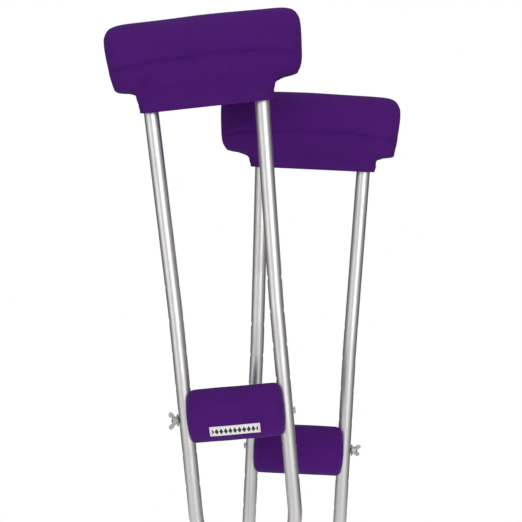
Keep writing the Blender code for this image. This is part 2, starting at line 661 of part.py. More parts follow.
def make_crutch(suffix, pad_x, plane_y, lean, turn, leg_hole, surfaces):
    """One whole crutch, leaned in its plane so that its sole's edge meets the floor."""
    crutch = add_empty("crutch" + suffix)
    length = crutch_length(leg_hole)
    top = length * math.cos(lean) + TIP_SOLE_RADIUS * math.sin(abs(lean))
    leaned = Matrix.Rotation(lean, 4, "Y") @ Matrix.Rotation(turn, 4, "Z")
    crutch.matrix_world = Matrix.Translation((pad_x, plane_y, top)) @ leaned
    for side in (-1, 1):
        make_side_tube(side, suffix, surfaces, crutch)
        make_bow_plug(side, suffix, surfaces, crutch)
        make_socket_rivet(side, suffix, surfaces, crutch)
    make_centre_tube(suffix, surfaces, crutch)
    for place in BOW_RIVET_DROPS:
        make_bow_rivet(place, suffix, surfaces, crutch)
    make_lower_collar(suffix, surfaces, crutch)
    make_crosspiece(suffix, surfaces, crutch)
    make_underarm_pad(suffix, surfaces, crutch)

    grip = add_empty("grip" + suffix, crutch, (0, 0, -GRIP_DROP))
    make_grip_layer("grip_core" + suffix, GRIP_CORE, 0, surfaces["plastic"], grip)
    make_grip_layer("grip_foam" + suffix, GRIP_FOAM, 0, surfaces["foam"], grip)
    make_grip_layer("grip_cover" + suffix, GRIP_COVER, GRIP_COVER_EDGE, surfaces["fabric"], grip)
    make_grip_label(suffix, surfaces, grip)
    make_grip_bolt(suffix, surfaces, grip)
    make_grip_washer(suffix, surfaces, grip)
    make_wing_nut(suffix, surfaces, grip)

    leg = add_empty("leg" + suffix, crutch, (0, 0, -LEG_TOP_DROP - leg_hole * LEG_PITCH))
    make_leg_tube(suffix, surfaces, leg)
    for side in (-1, 1):
        make_snap_button(side, suffix, surfaces, leg)
    make_button_spring(suffix, surfaces, leg)
    make_rubber_tip(suffix, surfaces, leg)


def main():
    clear_scene()
    surfaces = make_materials()
    half = PLANE_SPACING / 2
    make_crutch("_a", PAD_OFFSET_A, -half, LEAN_A, 0.0, LEG_HOLE_A, surfaces)
    make_crutch("_b", PAD_OFFSET_B, half, LEAN_B, math.pi, LEG_HOLE_B, surfaces)


main()
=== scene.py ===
import json
from math import copysign, cos, exp, pi, radians, sin, tan

import bmesh
import bpy
from mathutils import Matrix, Vector, noise
from mathutils.bvhtree import BVHTree


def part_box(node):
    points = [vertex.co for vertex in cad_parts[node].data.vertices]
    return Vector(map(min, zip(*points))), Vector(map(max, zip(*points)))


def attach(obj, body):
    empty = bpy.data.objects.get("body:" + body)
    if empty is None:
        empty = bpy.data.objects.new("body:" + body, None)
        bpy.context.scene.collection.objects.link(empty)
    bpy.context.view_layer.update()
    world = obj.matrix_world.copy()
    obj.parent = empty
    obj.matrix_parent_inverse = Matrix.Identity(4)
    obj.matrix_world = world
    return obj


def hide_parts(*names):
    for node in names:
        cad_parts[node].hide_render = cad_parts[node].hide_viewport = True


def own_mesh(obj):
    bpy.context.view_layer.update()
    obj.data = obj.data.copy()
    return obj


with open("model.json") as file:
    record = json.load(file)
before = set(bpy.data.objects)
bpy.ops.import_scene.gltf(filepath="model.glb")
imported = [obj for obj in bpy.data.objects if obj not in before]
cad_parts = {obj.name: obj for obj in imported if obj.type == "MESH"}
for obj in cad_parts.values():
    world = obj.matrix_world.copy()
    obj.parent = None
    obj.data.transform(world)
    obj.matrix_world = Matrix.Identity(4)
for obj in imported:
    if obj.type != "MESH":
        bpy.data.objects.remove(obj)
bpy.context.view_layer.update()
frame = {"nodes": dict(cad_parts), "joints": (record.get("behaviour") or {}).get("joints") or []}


# Side tubes: two lengths of 3/4 inch drawn aluminium tube on each crutch, satin anodised. They
# splay a little above the hand grip, are bent in below it on a tube bender, and are drilled
# through for the grip bolt, for the two rivets of the bow and for the underarm socket's rivet.
GRIP_DROP = 0.511
GRIP_PITCH = 0.04445
GRIP_HOLES = range(-2, 5)
SIDE_RADIUS = 0.009525
TUBE_WALL = 0.00125
TUBE_SIDES = 48
SIDE_HALF_SPACING = 0.066
SIDE_TOP_DROP = 0.045
FLARE_DROP = 0.365
FLARE = radians(1.13)
FLARE_BEND_RADIUS = 1.2
BOW_DROP = 0.640
BOW_RADIUS = 0.120
BOW_ANGLE = radians(20)
SIDE_END_DROP = 0.905
BOW_END_HALF_SPACING = 0.022525
BOLT_HOLE = 0.0039
BOW_RIVET_DROPS = (0.818, 0.885)
BOW_RIVET_HOLE = 0.0031
SOCKET_RIVET_DROP = 0.062
SOCKET_RIVET_HOLE = 0.0027
HALF_TURN = Matrix.Rotation(pi, 4, "Z")
Z_TO_X = Matrix.Rotation(pi / 2, 4, "Y")
Z_TO_MINUS_Y = Matrix.Rotation(pi / 2, 4, "X")


def crutch_place(suffix):
    """A crutch's own place: X across it, -Y to its labelled side, Z up, zero on top of its pad."""
    axes = {joint["name"]: Vector(joint["axis"]).normalized() for joint in frame["joints"]}
    up = axes["grip_height" + suffix]
    across = -axes["nut_travel" + suffix]
    low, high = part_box("grip_core" + suffix)
    turn = Matrix((across, up.cross(across), up)).transposed().to_4x4()
    return Matrix.Translation((low + high) / 2 + GRIP_DROP * up) @ turn


PLACES = {suffix: crutch_place(suffix) for suffix in ("_a", "_b")}


def switch_to(mode):
    bpy.ops.object.mode_set(mode=mode)


def select_mesh(action):
    bpy.ops.mesh.select_all(action=action)


def clear_selection():
    if bpy.context.object and bpy.context.mode != "OBJECT":
        switch_to("OBJECT")
    bpy.ops.object.select_all(action="DESELECT")


def take(piece):
    """Makes the piece the only selected and the active one."""
    clear_selection()
    piece.select_set(True)
    bpy.context.view_layer.objects.active = piece
    return piece


def open_new():
    """Opens the primitive that was just added, with its place in its mesh and all of it selected."""
    bpy.ops.object.transform_apply(location=True, rotation=True, scale=True)
    switch_to("EDIT")
    select_mesh("SELECT")
    return bpy.context.object


def pull(offset):
    bpy.ops.mesh.extrude_region_move(TRANSFORM_OT_translate={"value": tuple(offset)})


def make_outward():
    select_mesh("SELECT")
    bpy.ops.mesh.remove_doubles(threshold=0.000001)
    bpy.ops.mesh.normals_make_consistent(inside=False)
    switch_to("OBJECT")


def select_rims():
    """Selects only the open edges of the mesh being edited."""
    select_mesh("DESELECT")
    bpy.ops.mesh.select_non_manifold()


def close_rims():
    """Fills the open rims of the mesh being edited and turns its faces outward."""
    select_rims()
    bpy.ops.mesh.fill_holes(sides=0)
    make_outward()


def applied(piece, kind, **settings):
    """Adds a modifier with these settings and applies it."""
    take(piece)
    modifier = piece.modifiers.new(kind.lower(), kind)
    for name, value in settings.items():
        setattr(modifier, name, value)
    bpy.ops.object.modifier_apply(modifier=modifier.name)
    return piece


def joined(pieces):
    take(pieces[0])
    for piece in pieces:
        piece.select_set(True)
    bpy.ops.object.join()
    return bpy.context.object


def remove(*pieces):
    for piece in pieces:
        bpy.data.objects.remove(piece)


def settle(piece, place):
    """Moves a piece to its place and puts that place in its mesh."""
    take(piece)
    piece.matrix_world = place
    bpy.ops.object.transform_apply(location=True, rotation=True, scale=True)
    return piece


def cut(piece, cutters, operation="DIFFERENCE"):
    """Cuts the closed cutters from the piece, or unites them with it, and removes them."""
    tool = joined(cutters)
    applied(piece, "BOOLEAN", object=tool, operation=operation, solver="EXACT")
    remove(tool)
    return piece


def drill_bit(centre, turn, radius, length, sides=24):
    clear_selection()
    bpy.ops.mesh.primitive_cylinder_add(vertices=sides, radius=radius, depth=length)
    return settle(bpy.context.object, Matrix.Translation(centre) @ turn)


def smooth(piece, angle=30):
    take(piece)
    bpy.ops.object.shade_smooth_by_angle(angle=radians(angle))
    return piece


def copied(piece):
    take(piece)
    bpy.ops.object.duplicate(linked=False)
    return bpy.context.object


def fit(piece, name, place, surface, body, slot, *nodes):
    """Puts a finished piece in its place on the crutch, with its material and body; the slot is not used."""
    settle(piece, place)
    piece.name = piece.data.name = name
    piece.data.materials.clear()
    piece.data.materials.append(surface)
    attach(piece, body)
    if nodes:
        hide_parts(*nodes)
    return piece


def fit_all(piece, places, at, name, surface, body, slot, *nodes):
    """Fits a copy of the piece on each crutch, moved and turned by a matrix from the given places."""
    for suffix, place in places.items():
        look = surface[suffix] if isinstance(surface, dict) else surface
        fit(copied(piece), name + suffix, place @ at, look, body + suffix, slot, *[node + suffix for node in nodes])


def down(drop):
    return Matrix.Translation((0, 0, -drop))


def wire(tree, node, sockets):
    """Links or sets each of these sockets of a node."""
    for name, value in sockets.items():
        if isinstance(value, bpy.types.NodeSocket):
            tree.links.new(value, node.inputs[name])
        else:
            node.inputs[name].default_value = value


def added(tree, kind, sockets, **settings):
    """A new node with these settings, its sockets linked or set."""
    node = tree.nodes.new("ShaderNode" + kind)
    for name, value in settings.items():
        setattr(node, name, value)
    wire(tree, node, sockets)
    return node


def new_surface(name, roughness, metallic=0.0):
    """A new material, with its node tree and its shader."""
    surface = bpy.data.materials.new(name)
    surface.use_nodes = True
    tree = surface.node_tree
    tree.nodes.clear()
    shader = added(tree, "BsdfPrincipled", {"Roughness": roughness, "Metallic": metallic})
    added(tree, "OutputMaterial", {"Surface": shader.outputs["BSDF"]})
    return surface, tree, shader


def placed_pattern(tree, scale=(1, 1, 1), turn=(0, 0, 0), source="Object"):
    """Coordinates of the piece, turned and then scaled."""
    coordinates = added(tree, "TexCoord", {})
    turned = added(tree, "Mapping", {"Vector": coordinates.outputs[source], "Rotation": turn})
    return added(tree, "Mapping", {"Vector": turned.outputs["Vector"], "Scale": scale}).outputs["Vector"]


def mottle(tree, vector, scale, detail=3.0, roughness=0.5):
    sockets = {"Vector": vector, "Scale": scale, "Detail": detail, "Roughness": roughness}
    return added(tree, "TexNoise", sockets).outputs["Fac"]


def bands(tree, vector, direction, scale, distortion=0.0, detail_scale=1.0):
    """Waves along X, Z or the diagonal."""
    sockets = {"Vector": vector, "Scale": scale, "Distortion": distortion, "Detail Scale": detail_scale}
    return added(tree, "TexWave", sockets, bands_direction=direction).outputs["Fac"]


def cells(tree, vector, scale):
    """Distance from the middles of random cells."""
    return added(tree, "TexVoronoi", {"Vector": vector, "Scale": scale}).outputs["Distance"]


def spread(tree, value, low, high, to_low, to_high):
    """Maps a pattern's values between low and high to new ones, clamped."""
    sockets = {"Value": value, "From Min": low, "From Max": high, "To Min": to_low, "To Max": to_high}
    return added(tree, "MapRange", sockets).outputs["Result"]


def mixed(tree, factor, first, second):
    """One colour turning into another as the factor rises."""
    colours = [(*colour, 1.0) if isinstance(colour, tuple) else colour for colour in (first, second)]
    sockets = {"Factor": factor, 6: colours[0], 7: colours[1]}
    return added(tree, "Mix", sockets, data_type="RGBA").outputs[2]


def worked_out(tree, operation, first, second=None):
    sockets = {0: first} if second is None else {0: first, 1: second}
    return added(tree, "Math", sockets, operation=operation).outputs["Value"]


def raise_surface(tree, shader, height, depth, below=None):
    """Bump of this depth in metres, over an earlier bump if there is one."""
    sockets = {"Strength": 1.0, "Distance": depth, "Height": height}
    if below is not None:
        sockets["Normal"] = below
    raised = added(tree, "Bump", sockets).outputs["Normal"]
    wire(tree, shader, {"Normal": raised})
    return raised


def satin_aluminium(name, place):
    """Drawn and anodised tube: fine lines along it, a faint cloudiness and small handling marks."""
    surface, tree, shader = new_surface(name, 0.3, 1.0)
    turn = tuple(place.to_3x3().inverted().to_euler())
    bright, dull, scratched = (0.83, 0.825, 0.815), (0.74, 0.735, 0.73), (0.60, 0.595, 0.59)
    lines = mottle(tree, placed_pattern(tree, (2600, 2600, 9), turn), 1.0, 2.0)
    clouds = mottle(tree, placed_pattern(tree, (1, 1, 0.35), turn), 55.0, 4.0)
    marks = mottle(tree, placed_pattern(tree, (1, 1, 0.5), turn), 420.0, 5.0, 0.7)
    tone = mixed(tree, spread(tree, clouds, 0.3, 0.7, 0, 1), bright, dull)
    tone = mixed(tree, spread(tree, marks, 0.62, 0.75, 0, 0.5), tone, scratched)
    streaks = spread(tree, lines, 0.3, 0.7, 0.28, 0.38)
    rough = worked_out(tree, "ADD", streaks, spread(tree, clouds, 0.3, 0.7, 0, 0.07))
    wire(tree, shader, {"Base Color": tone, "Roughness": rough})
    raise_surface(tree, shader, lines, 0.000004)
    return surface


ALUMINIUM = {suffix: satin_aluminium("satin_aluminium" + suffix, PLACES[suffix]) for suffix in PLACES}


def side_offset(drop):
    """How far a side tube's axis lies from the middle, above the bow."""
    return SIDE_HALF_SPACING + max(FLARE_DROP - drop, 0.0) * tan(FLARE)


def bent_side_tube():
    """The right tube, pulled down from its top ring and spun through each bend."""
    clear_selection()
    top = (side_offset(SIDE_TOP_DROP), 0, -SIDE_TOP_DROP)
    bpy.ops.mesh.primitive_circle_add(vertices=TUBE_SIDES, radius=SIDE_RADIUS, fill_type="NOTHING",
                                      location=top, rotation=(0, FLARE, 0))
    piece = open_new()
    at = Vector(top)
    lean = FLARE

    def straight(length, steps):
        nonlocal at
        step = Vector((-sin(lean), 0, -cos(lean))) * length / steps
        for _ in range(steps):
            pull(step)
            at = at + step

    def bend(radius, angle, steps):
        nonlocal at, lean
        side = copysign(1, angle)
        centre = at + side * radius * Vector((-cos(lean), 0, sin(lean)))
        bpy.ops.mesh.spin(steps=steps, angle=-angle, center=centre, axis=(0, 1, 0))
        at = centre + Matrix.Rotation(angle, 3, "Y") @ (at - centre)
        lean += angle

    half_bend = FLARE_BEND_RADIUS * tan(FLARE / 2)
    straight((FLARE_DROP - SIDE_TOP_DROP) / cos(FLARE) - half_bend, 8)
    bend(FLARE_BEND_RADIUS, -FLARE, 3)
    straight(BOW_DROP + at.z, 7)
    bend(BOW_RADIUS, BOW_ANGLE, 8)
    shift = SIDE_HALF_SPACING - BOW_END_HALF_SPACING - 2 * BOW_RADIUS * (1 - cos(BOW_ANGLE))
    straight(shift / sin(BOW_ANGLE), 2)
    bend(BOW_RADIUS, -BOW_ANGLE, 8)
    straight(SIDE_END_DROP + at.z, 3)
    close_rims()
    switch_to("EDIT")
    select_mesh("DESELECT")
    bpy.ops.mesh.select_face_by_sides(number=4, type="GREATER")
    bpy.ops.mesh.delete(type="ONLY_FACE")
    switch_to("OBJECT")
    applied(piece, "SOLIDIFY", thickness=TUBE_WALL, offset=-1, use_even_offset=True)
    through = 3 * SIDE_RADIUS
    bits = []
    for hole in GRIP_HOLES:
        drop = GRIP_DROP - hole * GRIP_PITCH
        bits.append(drill_bit((side_offset(drop), 0, -drop), Z_TO_X, BOLT_HOLE, through))
    for drop in BOW_RIVET_DROPS:
        bits.append(drill_bit((BOW_END_HALF_SPACING, 0, -drop), Z_TO_X, BOW_RIVET_HOLE, through))
    socket = (side_offset(SOCKET_RIVET_DROP), 0, -SOCKET_RIVET_DROP)
    bits.append(drill_bit(socket, Z_TO_MINUS_Y, SOCKET_RIVET_HOLE, through))
    cut(piece, bits)
    return smooth(piece, 35)


side_tube = bent_side_tube()
for side, turn in (("left", HALF_TURN), ("right", Matrix())):
    fit_all(side_tube, PLACES, turn, "bowed_tube_" + side, ALUMINIUM, "crutch", "aluminium", "side_tube_" + side)
remove(side_tube)


# Bow plugs and centre tube cap: moulded plastic plugs pushed into the open tube ends. Each has a
# short skirt inside the tube and a domed rim as wide as the tube, with a fine moulded grain.
GAP = 0.0003
PLUG_CLEARANCE = 0.0004
PLUG_CHAMFER = (0.0006, 0.0008)
CENTRE_RADIUS = 0.0127
CENTRE_TOP_DROP = 0.805


def turned_piece(profile, sides, hollow=False):
    """Pulls and sizes a ring along a profile of (radius, height); a hollow piece joins its ends."""
    clear_selection()
    radius, height = profile[0]
    bpy.ops.mesh.primitive_circle_add(vertices=sides, radius=radius, fill_type="NOTHING", location=(0, 0, height))
    piece = open_new()
    for (radius, height), (next_radius, next_height) in zip(profile, profile[1:]):
        pull((0, 0, next_height - height))
        size = next_radius / radius
        bpy.ops.transform.resize(value=(size, size, 1), center_override=(0, 0, next_height))
    if hollow:
        select_rims()
        bpy.ops.mesh.bridge_edge_loops()
        make_outward()
    else:
        close_rims()
    return piece


def dome(radius, base, rise, degrees, steps, blunt=1.0):
    """Rings up a rounded end; below 1, blunt gives it fuller shoulders."""
    angles = [radians(degrees) * step / steps for step in range(steps + 1)]
    return [(radius * cos(angle) ** blunt, base + rise * sin(angle)) for angle in angles]


def moulded_plastic(name, colour, roughness):
    """Injection moulded plastic: an even fine grain and slightly scuffed high spots."""
    surface, tree, shader = new_surface(name, roughness)
    vector = placed_pattern(tree)
    grain = mottle(tree, vector, 2400.0, 2.0)
    scuffs = mottle(tree, vector, 160.0, 5.0, 0.65)
    lighter = tuple(min(1.0, 1.5 * part + 0.02) for part in colour)
    tone = mixed(tree, spread(tree, scuffs, 0.5, 0.8, 0, 0.6), colour, lighter)
    rough = spread(tree, scuffs, 0.3, 0.7, roughness - 0.06, roughness + 0.1)
    wire(tree, shader, {"Base Color": tone, "Roughness": rough})
    raise_surface(tree, shader, grain, 0.00003)
    return surface


PLUG_PLASTIC = moulded_plastic("dark_grey_plastic", (0.035, 0.035, 0.037), 0.45)


def domed_plug(tube_radius, skirt, rim):
    """A plug lying upwards, with a chamfered skirt and a domed rim."""
    inside = tube_radius - TUBE_WALL - PLUG_CLEARANCE
    profile = [(inside - PLUG_CHAMFER[0], -skirt), (inside, PLUG_CHAMFER[1] - skirt), (inside, GAP),
               (tube_radius, GAP)]
    profile += dome(tube_radius, GAP + 0.35 * rim, 0.65 * rim, 84, 6, 0.45)[1:]
    return smooth(turned_piece(profile, TUBE_SIDES), 35)


bow_plug = domed_plug(SIDE_RADIUS, 0.008, 0.003)
centre_cap = domed_plug(CENTRE_RADIUS, 0.007, 0.004)
for name, side in (("left", -1), ("right", 1)):
    foot = Matrix.Translation((side * BOW_END_HALF_SPACING, 0, -SIDE_END_DROP)) @ Matrix.Rotation(pi, 4, "X")
    fit_all(bow_plug, PLACES, foot, "bow_end_plug_" + name, PLUG_PLASTIC, "crutch", "plastic", "bow_plug_" + name)
fit_all(centre_cap, PLACES, down(CENTRE_TOP_DROP), "centre_cap", PLUG_PLASTIC, "crutch", "plastic", "centre_tube_cap")
remove(bow_plug, centre_cap)


# Centre tube: 1 inch aluminium tube between the ends of the bow. Seven holes front and back take
# the snap buttons of the leg, and two cross holes take the rivets of the bow.
CENTRE_END_DROP = 1.128
LEG_TOP_DROP = 0.900
LEG_PITCH = 0.0254
LEG_HOLES = 7
BUTTON_BELOW_TOP = 0.045
BUTTON_HOLE = 0.0041


def straight_tube(radius, top, bottom):
    """A drawn tube between two heights, with its wall inside the radius."""
    inner = radius - TUBE_WALL
    edge = 0.0002
    steps = 12
    heights = [top + (bottom - top) * step / steps for step in range(steps + 1)]
    profile = [(radius - edge, top)]
    profile += [(radius, height) for height in [top - edge] + heights[1:-1] + [bottom + edge]]
    profile += [(radius - edge, bottom), (inner, bottom), (inner, top)]
    return turned_piece(profile, TUBE_SIDES, hollow=True)


centre_tube = straight_tube(CENTRE_RADIUS, -CENTRE_TOP_DROP, -CENTRE_END_DROP)
through = 3 * CENTRE_RADIUS
bits = []
for hole in range(LEG_HOLES):
    drop = LEG_TOP_DROP + BUTTON_BELOW_TOP + hole * LEG_PITCH
    bits.append(drill_bit((0, 0, -drop), Z_TO_MINUS_Y, BUTTON_HOLE, through))
for drop in BOW_RIVET_DROPS:
    bits.append(drill_bit((0, 0, -drop), Z_TO_X, BOW_RIVET_HOLE, through))
cut(centre_tube, bits)
smooth(centre_tube, 35)
fit_all(centre_tube, PLACES, Matrix(), "drilled_centre_tube", ALUMINIUM, "crutch", "aluminium", "centre_tube")
remove(centre_tube)


# Bow rivets and socket rivets: zinc plated steel with domed heads. The bow's two go through both
# side tubes and the centre tube; the sockets' ones are hidden under the cover.
BOW_RIVET_RADIUS = 0.0024
BOW_RIVET_HEAD = 0.005
BOW_RIVET_RISE = 0.0025


def zinc_plate(name, colour, roughness, grain):
    """Zinc on steel: small spangles of different shine and a fine pitted grain."""
    surface, tree, shader = new_surface(name, roughness, 1.0)
    vector = placed_pattern(tree)
    pits = mottle(tree, vector, 1500.0, 4.0, 0.6)
    dirt = mottle(tree, vector, 260.0, 4.0, 0.6)
    darker = tuple(0.62 * part for part in colour)
    tone = mixed(tree, spread(tree, dirt, 0.4, 0.75, 0, 1), colour, darker)
    shine = spread(tree, cells(tree, vector, 700.0), 0.0, 0.8, roughness - 0.06, roughness + 0.12)
    wire(tree, shader, {"Base Color": tone, "Roughness": shine})
    raise_surface(tree, shader, pits, grain)
    return surface


ZINC_STEEL = zinc_plate("zinc_plated_steel", (0.62, 0.62, 0.60), 0.32, 0.00001)
half_grip = BOW_END_HALF_SPACING + SIDE_RADIUS + GAP
head = dome(BOW_RIVET_HEAD, half_grip, BOW_RIVET_RISE, 85, 6)
profile = [(radius, -height) for radius, height in reversed(head)]
profile += [(BOW_RIVET_RADIUS, -half_grip), (BOW_RIVET_RADIUS, half_grip)] + head
bow_rivet = smooth(turned_piece(profile, 32), 50)
for level, drop in zip(("upper", "lower"), BOW_RIVET_DROPS):
    fit_all(bow_rivet, PLACES, down(drop) @ Z_TO_X, "bow_pin_" + level, ZINC_STEEL, "crutch", "steel",
            "bow_rivet_" + level)
for suffix in PLACES:
    for side in ("left", "right"):
        frame["nodes"][f"socket_rivet_{side}{suffix}"].material_slots[0].material = ZINC_STEEL
remove(bow_rivet)


# Lower collar: a moulded ring pressed on the centre tube's lower end. It guides the leg and has
# two shallow grip grooves round it.
LEG_RADIUS = 0.0111
COLLAR_WALL = 0.002
COLLAR_TOP = 0.012
COLLAR_BELOW_TUBE = 0.005
COLLAR_GROOVES = (0.0075, 0.0045)
over_tube = CENTRE_RADIUS + GAP
over_leg = LEG_RADIUS + GAP
outside = over_tube + COLLAR_WALL
profile = [(over_tube, COLLAR_TOP), (outside - 0.0009, COLLAR_TOP), (outside - 0.0003, COLLAR_TOP - 0.0008),
           (outside, COLLAR_TOP - 0.0025)]
for groove in COLLAR_GROOVES:
    profile += [(outside, groove + 0.0006), (outside - 0.0005, groove + 0.0002),
                (outside - 0.0005, groove - 0.0002), (outside, groove - 0.0006)]
profile += [(outside, 0.0020 - COLLAR_BELOW_TUBE), (outside - 0.0003, 0.0006 - COLLAR_BELOW_TUBE),
            (outside - 0.0010, -COLLAR_BELOW_TUBE), (over_leg, -COLLAR_BELOW_TUBE), (over_leg, -GAP),
            (over_tube, -GAP)]
collar = smooth(turned_piece(profile, TUBE_SIDES, hollow=True), 40)
fit_all(collar, PLACES, down(CENTRE_END_DROP), "guide_collar", PLUG_PLASTIC, "crutch", "plastic", "lower_collar")
remove(collar)


# Leg tube: 7/8 inch aluminium tube that slides in the centre tube. One pair of holes near its top
# lets the two snap buttons out.
LEG_LENGTH = 0.281
LEG_SET_HOLES = {"_a": 4, "_b": 1}
leg_tube = straight_tube(LEG_RADIUS, 0, -LEG_LENGTH)
cut(leg_tube, [drill_bit((0, 0, -BUTTON_BELOW_TOP), Z_TO_MINUS_Y, BUTTON_HOLE, 3 * LEG_RADIUS)])
smooth(leg_tube, 35)
LEG_PLACES = {suffix: place @ down(LEG_TOP_DROP + LEG_SET_HOLES[suffix] * LEG_PITCH)
              for suffix, place in PLACES.items()}
fit_all(leg_tube, LEG_PLACES, Matrix(), "sliding_leg", ALUMINIUM, "leg", "aluminium", "leg_tube")
remove(leg_tube)


# Snap buttons and their spring: turned steel pins with a flange inside the leg and a rounded end
# that stands out through both tubes. A hairpin of flat spring steel pushes them out; it is made as
# two arms that meet in its bend.
BUTTON_RADIUS = 0.0032
BUTTON_REACH = 0.0162
BUTTON_DOME = 0.0015
BUTTON_BORE = 0.0012
BUTTON_FLANGE_RADIUS = 0.0043
BUTTON_FLANGE = (0.0074, 0.0083)
profile = [(BUTTON_BORE, BUTTON_FLANGE[0]), (BUTTON_FLANGE_RADIUS, BUTTON_FLANGE[0]),
           (BUTTON_FLANGE_RADIUS, BUTTON_FLANGE[1]), (BUTTON_RADIUS, BUTTON_FLANGE[1])]
profile += dome(BUTTON_RADIUS, BUTTON_REACH - BUTTON_DOME, BUTTON_DOME, 80, 6, 0.7)
snap_button = smooth(turned_piece(profile, 32), 40)
for face, turn in (("front", Matrix()), ("back", HALF_TURN)):
    fit_all(snap_button, LEG_PLACES, down(BUTTON_BELOW_TOP) @ turn @ Z_TO_MINUS_Y, "snap_pin_" + face, ZINC_STEEL,
            "button_" + face, "steel", "snap_button_" + face)
remove(snap_button)
SPRING_STRIP = (0.0070, 0.0007)
SPRING_OFFSET = 0.0065
SPRING_TOP = 0.004
SPRING_BEND_START = -0.0385
SPRING_BEND = radians(89)
SPRING_STEPS = 4
clear_selection()
bpy.ops.mesh.primitive_plane_add(size=1, location=(0, SPRING_OFFSET, SPRING_TOP))
bpy.context.object.scale = (*SPRING_STRIP, 1)
spring_arm = open_new()
for _ in range(SPRING_STEPS):
    pull((0, 0, (SPRING_BEND_START - SPRING_TOP) / SPRING_STEPS))
bpy.ops.mesh.spin(steps=6, angle=SPRING_BEND, center=(0, 0, SPRING_BEND_START), axis=(1, 0, 0))
close_rims()
smooth(spring_arm, 40)
for suffix, leg_place in LEG_PLACES.items():
    for face, turn in (("front", HALF_TURN), ("back", Matrix())):
        height = down(BUTTON_BELOW_TOP) @ turn
        arm = fit(copied(spring_arm), f"spring_arm_{face}{suffix}", leg_place @ height, ZINC_STEEL, "leg" + suffix,
                  "steel", "button_spring" + suffix)
        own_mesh(arm)
remove(spring_arm)


# Rubber tips: moulded grey rubber ferrules pushed over the legs' ends, with three rings round the
# neck, a flared foot and a sole of ring treads. A steel washer inside keeps the tube off the sole.
TIP_BORE = 0.0114
TIP_SOLE = 0.0124
TIP_SOLE_RADIUS = 0.0230
TIP_TOP = 0.040
TIP_SEAT = -0.0021
TIP_RINGS = (0.0355, 0.0315, 0.0275)
TIP_RING_RADII = (0.0147, 0.0152)
TIP_FLARE = (  # down from the rings to the sole: radius, height
    (0.0151, 0.0235), (0.0155, 0.018), (0.0161, 0.013), (0.0170, 0.0085), (0.0184, 0.0040), (0.0200, 0.0005),
    (0.0219, -0.0027), (0.0236, -0.0050), (0.0240, -0.0062), (0.0240, -0.0100), (0.0237, -0.0114),
)
TIP_TREADS = (0.0205, 0.0165, 0.0125, 0.0085, 0.0045)
TIP_TREAD_DEPTH = 0.0012
profile = [(TIP_BORE, TIP_SEAT), (TIP_BORE, TIP_TOP - 0.0015), (TIP_BORE + 0.0008, TIP_TOP), (0.0139, TIP_TOP),
           (0.0146, TIP_TOP - 0.0012)]
neck, bulge = TIP_RING_RADII
for ring in TIP_RINGS:
    profile += [(neck, ring + 0.0016), (bulge, ring + 0.0011), (bulge, ring - 0.0007), (neck, ring - 0.0013)]
profile += [*TIP_FLARE, (TIP_SOLE_RADIUS, -TIP_SOLE)]
for tread in TIP_TREADS:
    profile += [(tread, -TIP_SOLE), (tread - 0.0003, TIP_TREAD_DEPTH - TIP_SOLE),
                (tread - 0.0015, TIP_TREAD_DEPTH - TIP_SOLE), (tread - 0.0018, -TIP_SOLE)]
rubber_tip = smooth(turned_piece(profile, 64), 35)


def worn_rubber(name):
    """Grey moulded rubber: matt, faintly mottled, with a fine powdery grain."""
    surface, tree, shader = new_surface(name, 0.8)
    vector = placed_pattern(tree)
    grain = mottle(tree, vector, 1800.0, 3.0, 0.6)
    dust = mottle(tree, vector, 75.0, 5.0, 0.6)
    tone = mixed(tree, spread(tree, dust, 0.35, 0.75, 0, 1), (0.085, 0.085, 0.088), (0.15, 0.148, 0.145))
    rough = spread(tree, dust, 0.3, 0.7, 0.72, 0.9)
    wire(tree, shader, {"Base Color": tone, "Roughness": rough, "Specular IOR Level": 0.3})
    raise_surface(tree, shader, grain, 0.00004)
    return surface


RUBBER = worn_rubber("grey_tip_rubber")
fit_all(rubber_tip, LEG_PLACES, down(LEG_LENGTH), "ringed_tip", RUBBER, "leg", "rubber", "rubber_tip")
for suffix in PLACES:
    frame["nodes"]["tip_washer" + suffix].material_slots[0].material = ZINC_STEEL
remove(rubber_tip)


# Underarm crosspiece: the rigid moulded bar with two sockets that the side tubes are riveted into.
# It is hidden by the foam and the cover, and shows only from below, inside the skirt.
BAR_PLASTIC = moulded_plastic("crosspiece_plastic", (0.17, 0.17, 0.172), 0.5)
for suffix in PLACES:
    frame["nodes"]["underarm_crosspiece" + suffix].material_slots[0].material = BAR_PLASTIC
    frame["nodes"]["grip_core" + suffix].material_slots[0].material = PLUG_PLASTIC


# Underarm foam: a block of closed-cell foam moulded over the crosspiece, with a slot underneath
# for it. The cover hides all but its lower side.
PAD_CORNER = 0.024
PAD_LEVELS = (  # the sewn cover from the top down: drop, half width, half depth
    (0.0005, 0.1075, 0.0115), (0.0015, 0.1120, 0.0160), (0.0045, 0.1175, 0.0225), (0.0090, 0.1210, 0.0275),
    (0.0160, 0.1240, 0.0318), (0.0260, 0.1250, 0.0338), (0.0400, 0.1250, 0.0345), (0.0520, 0.1246, 0.0342),
    (0.0600, 0.1248, 0.0325), (0.0680, 0.1243, 0.0300), (0.0750, 0.1232, 0.0276), (0.0795, 0.1208, 0.0260),
    (0.0822, 0.1165, 0.0250), (0.0838, 0.1100, 0.0240), (0.0848, 0.1020, 0.0228), (0.0864, 0.0970, 0.0216),
    (0.0892, 0.0926, 0.0204), (0.0930, 0.0896, 0.0190), (0.0980, 0.0874, 0.0175), (0.1040, 0.0860, 0.0163),
    (0.1100, 0.0852, 0.0154), (0.1220, 0.0850, 0.0150),
)
FOAM_INSET = 0.0050
FOAM_END_DROP = 0.056
SLOT_HALF = (0.1131, 0.0195)
SLOT_TOP_DROP = 0.0215
MEASURE_HALF_WIDTH = 0.1235
MEASURE_HALF_DEPTH = 0.0345


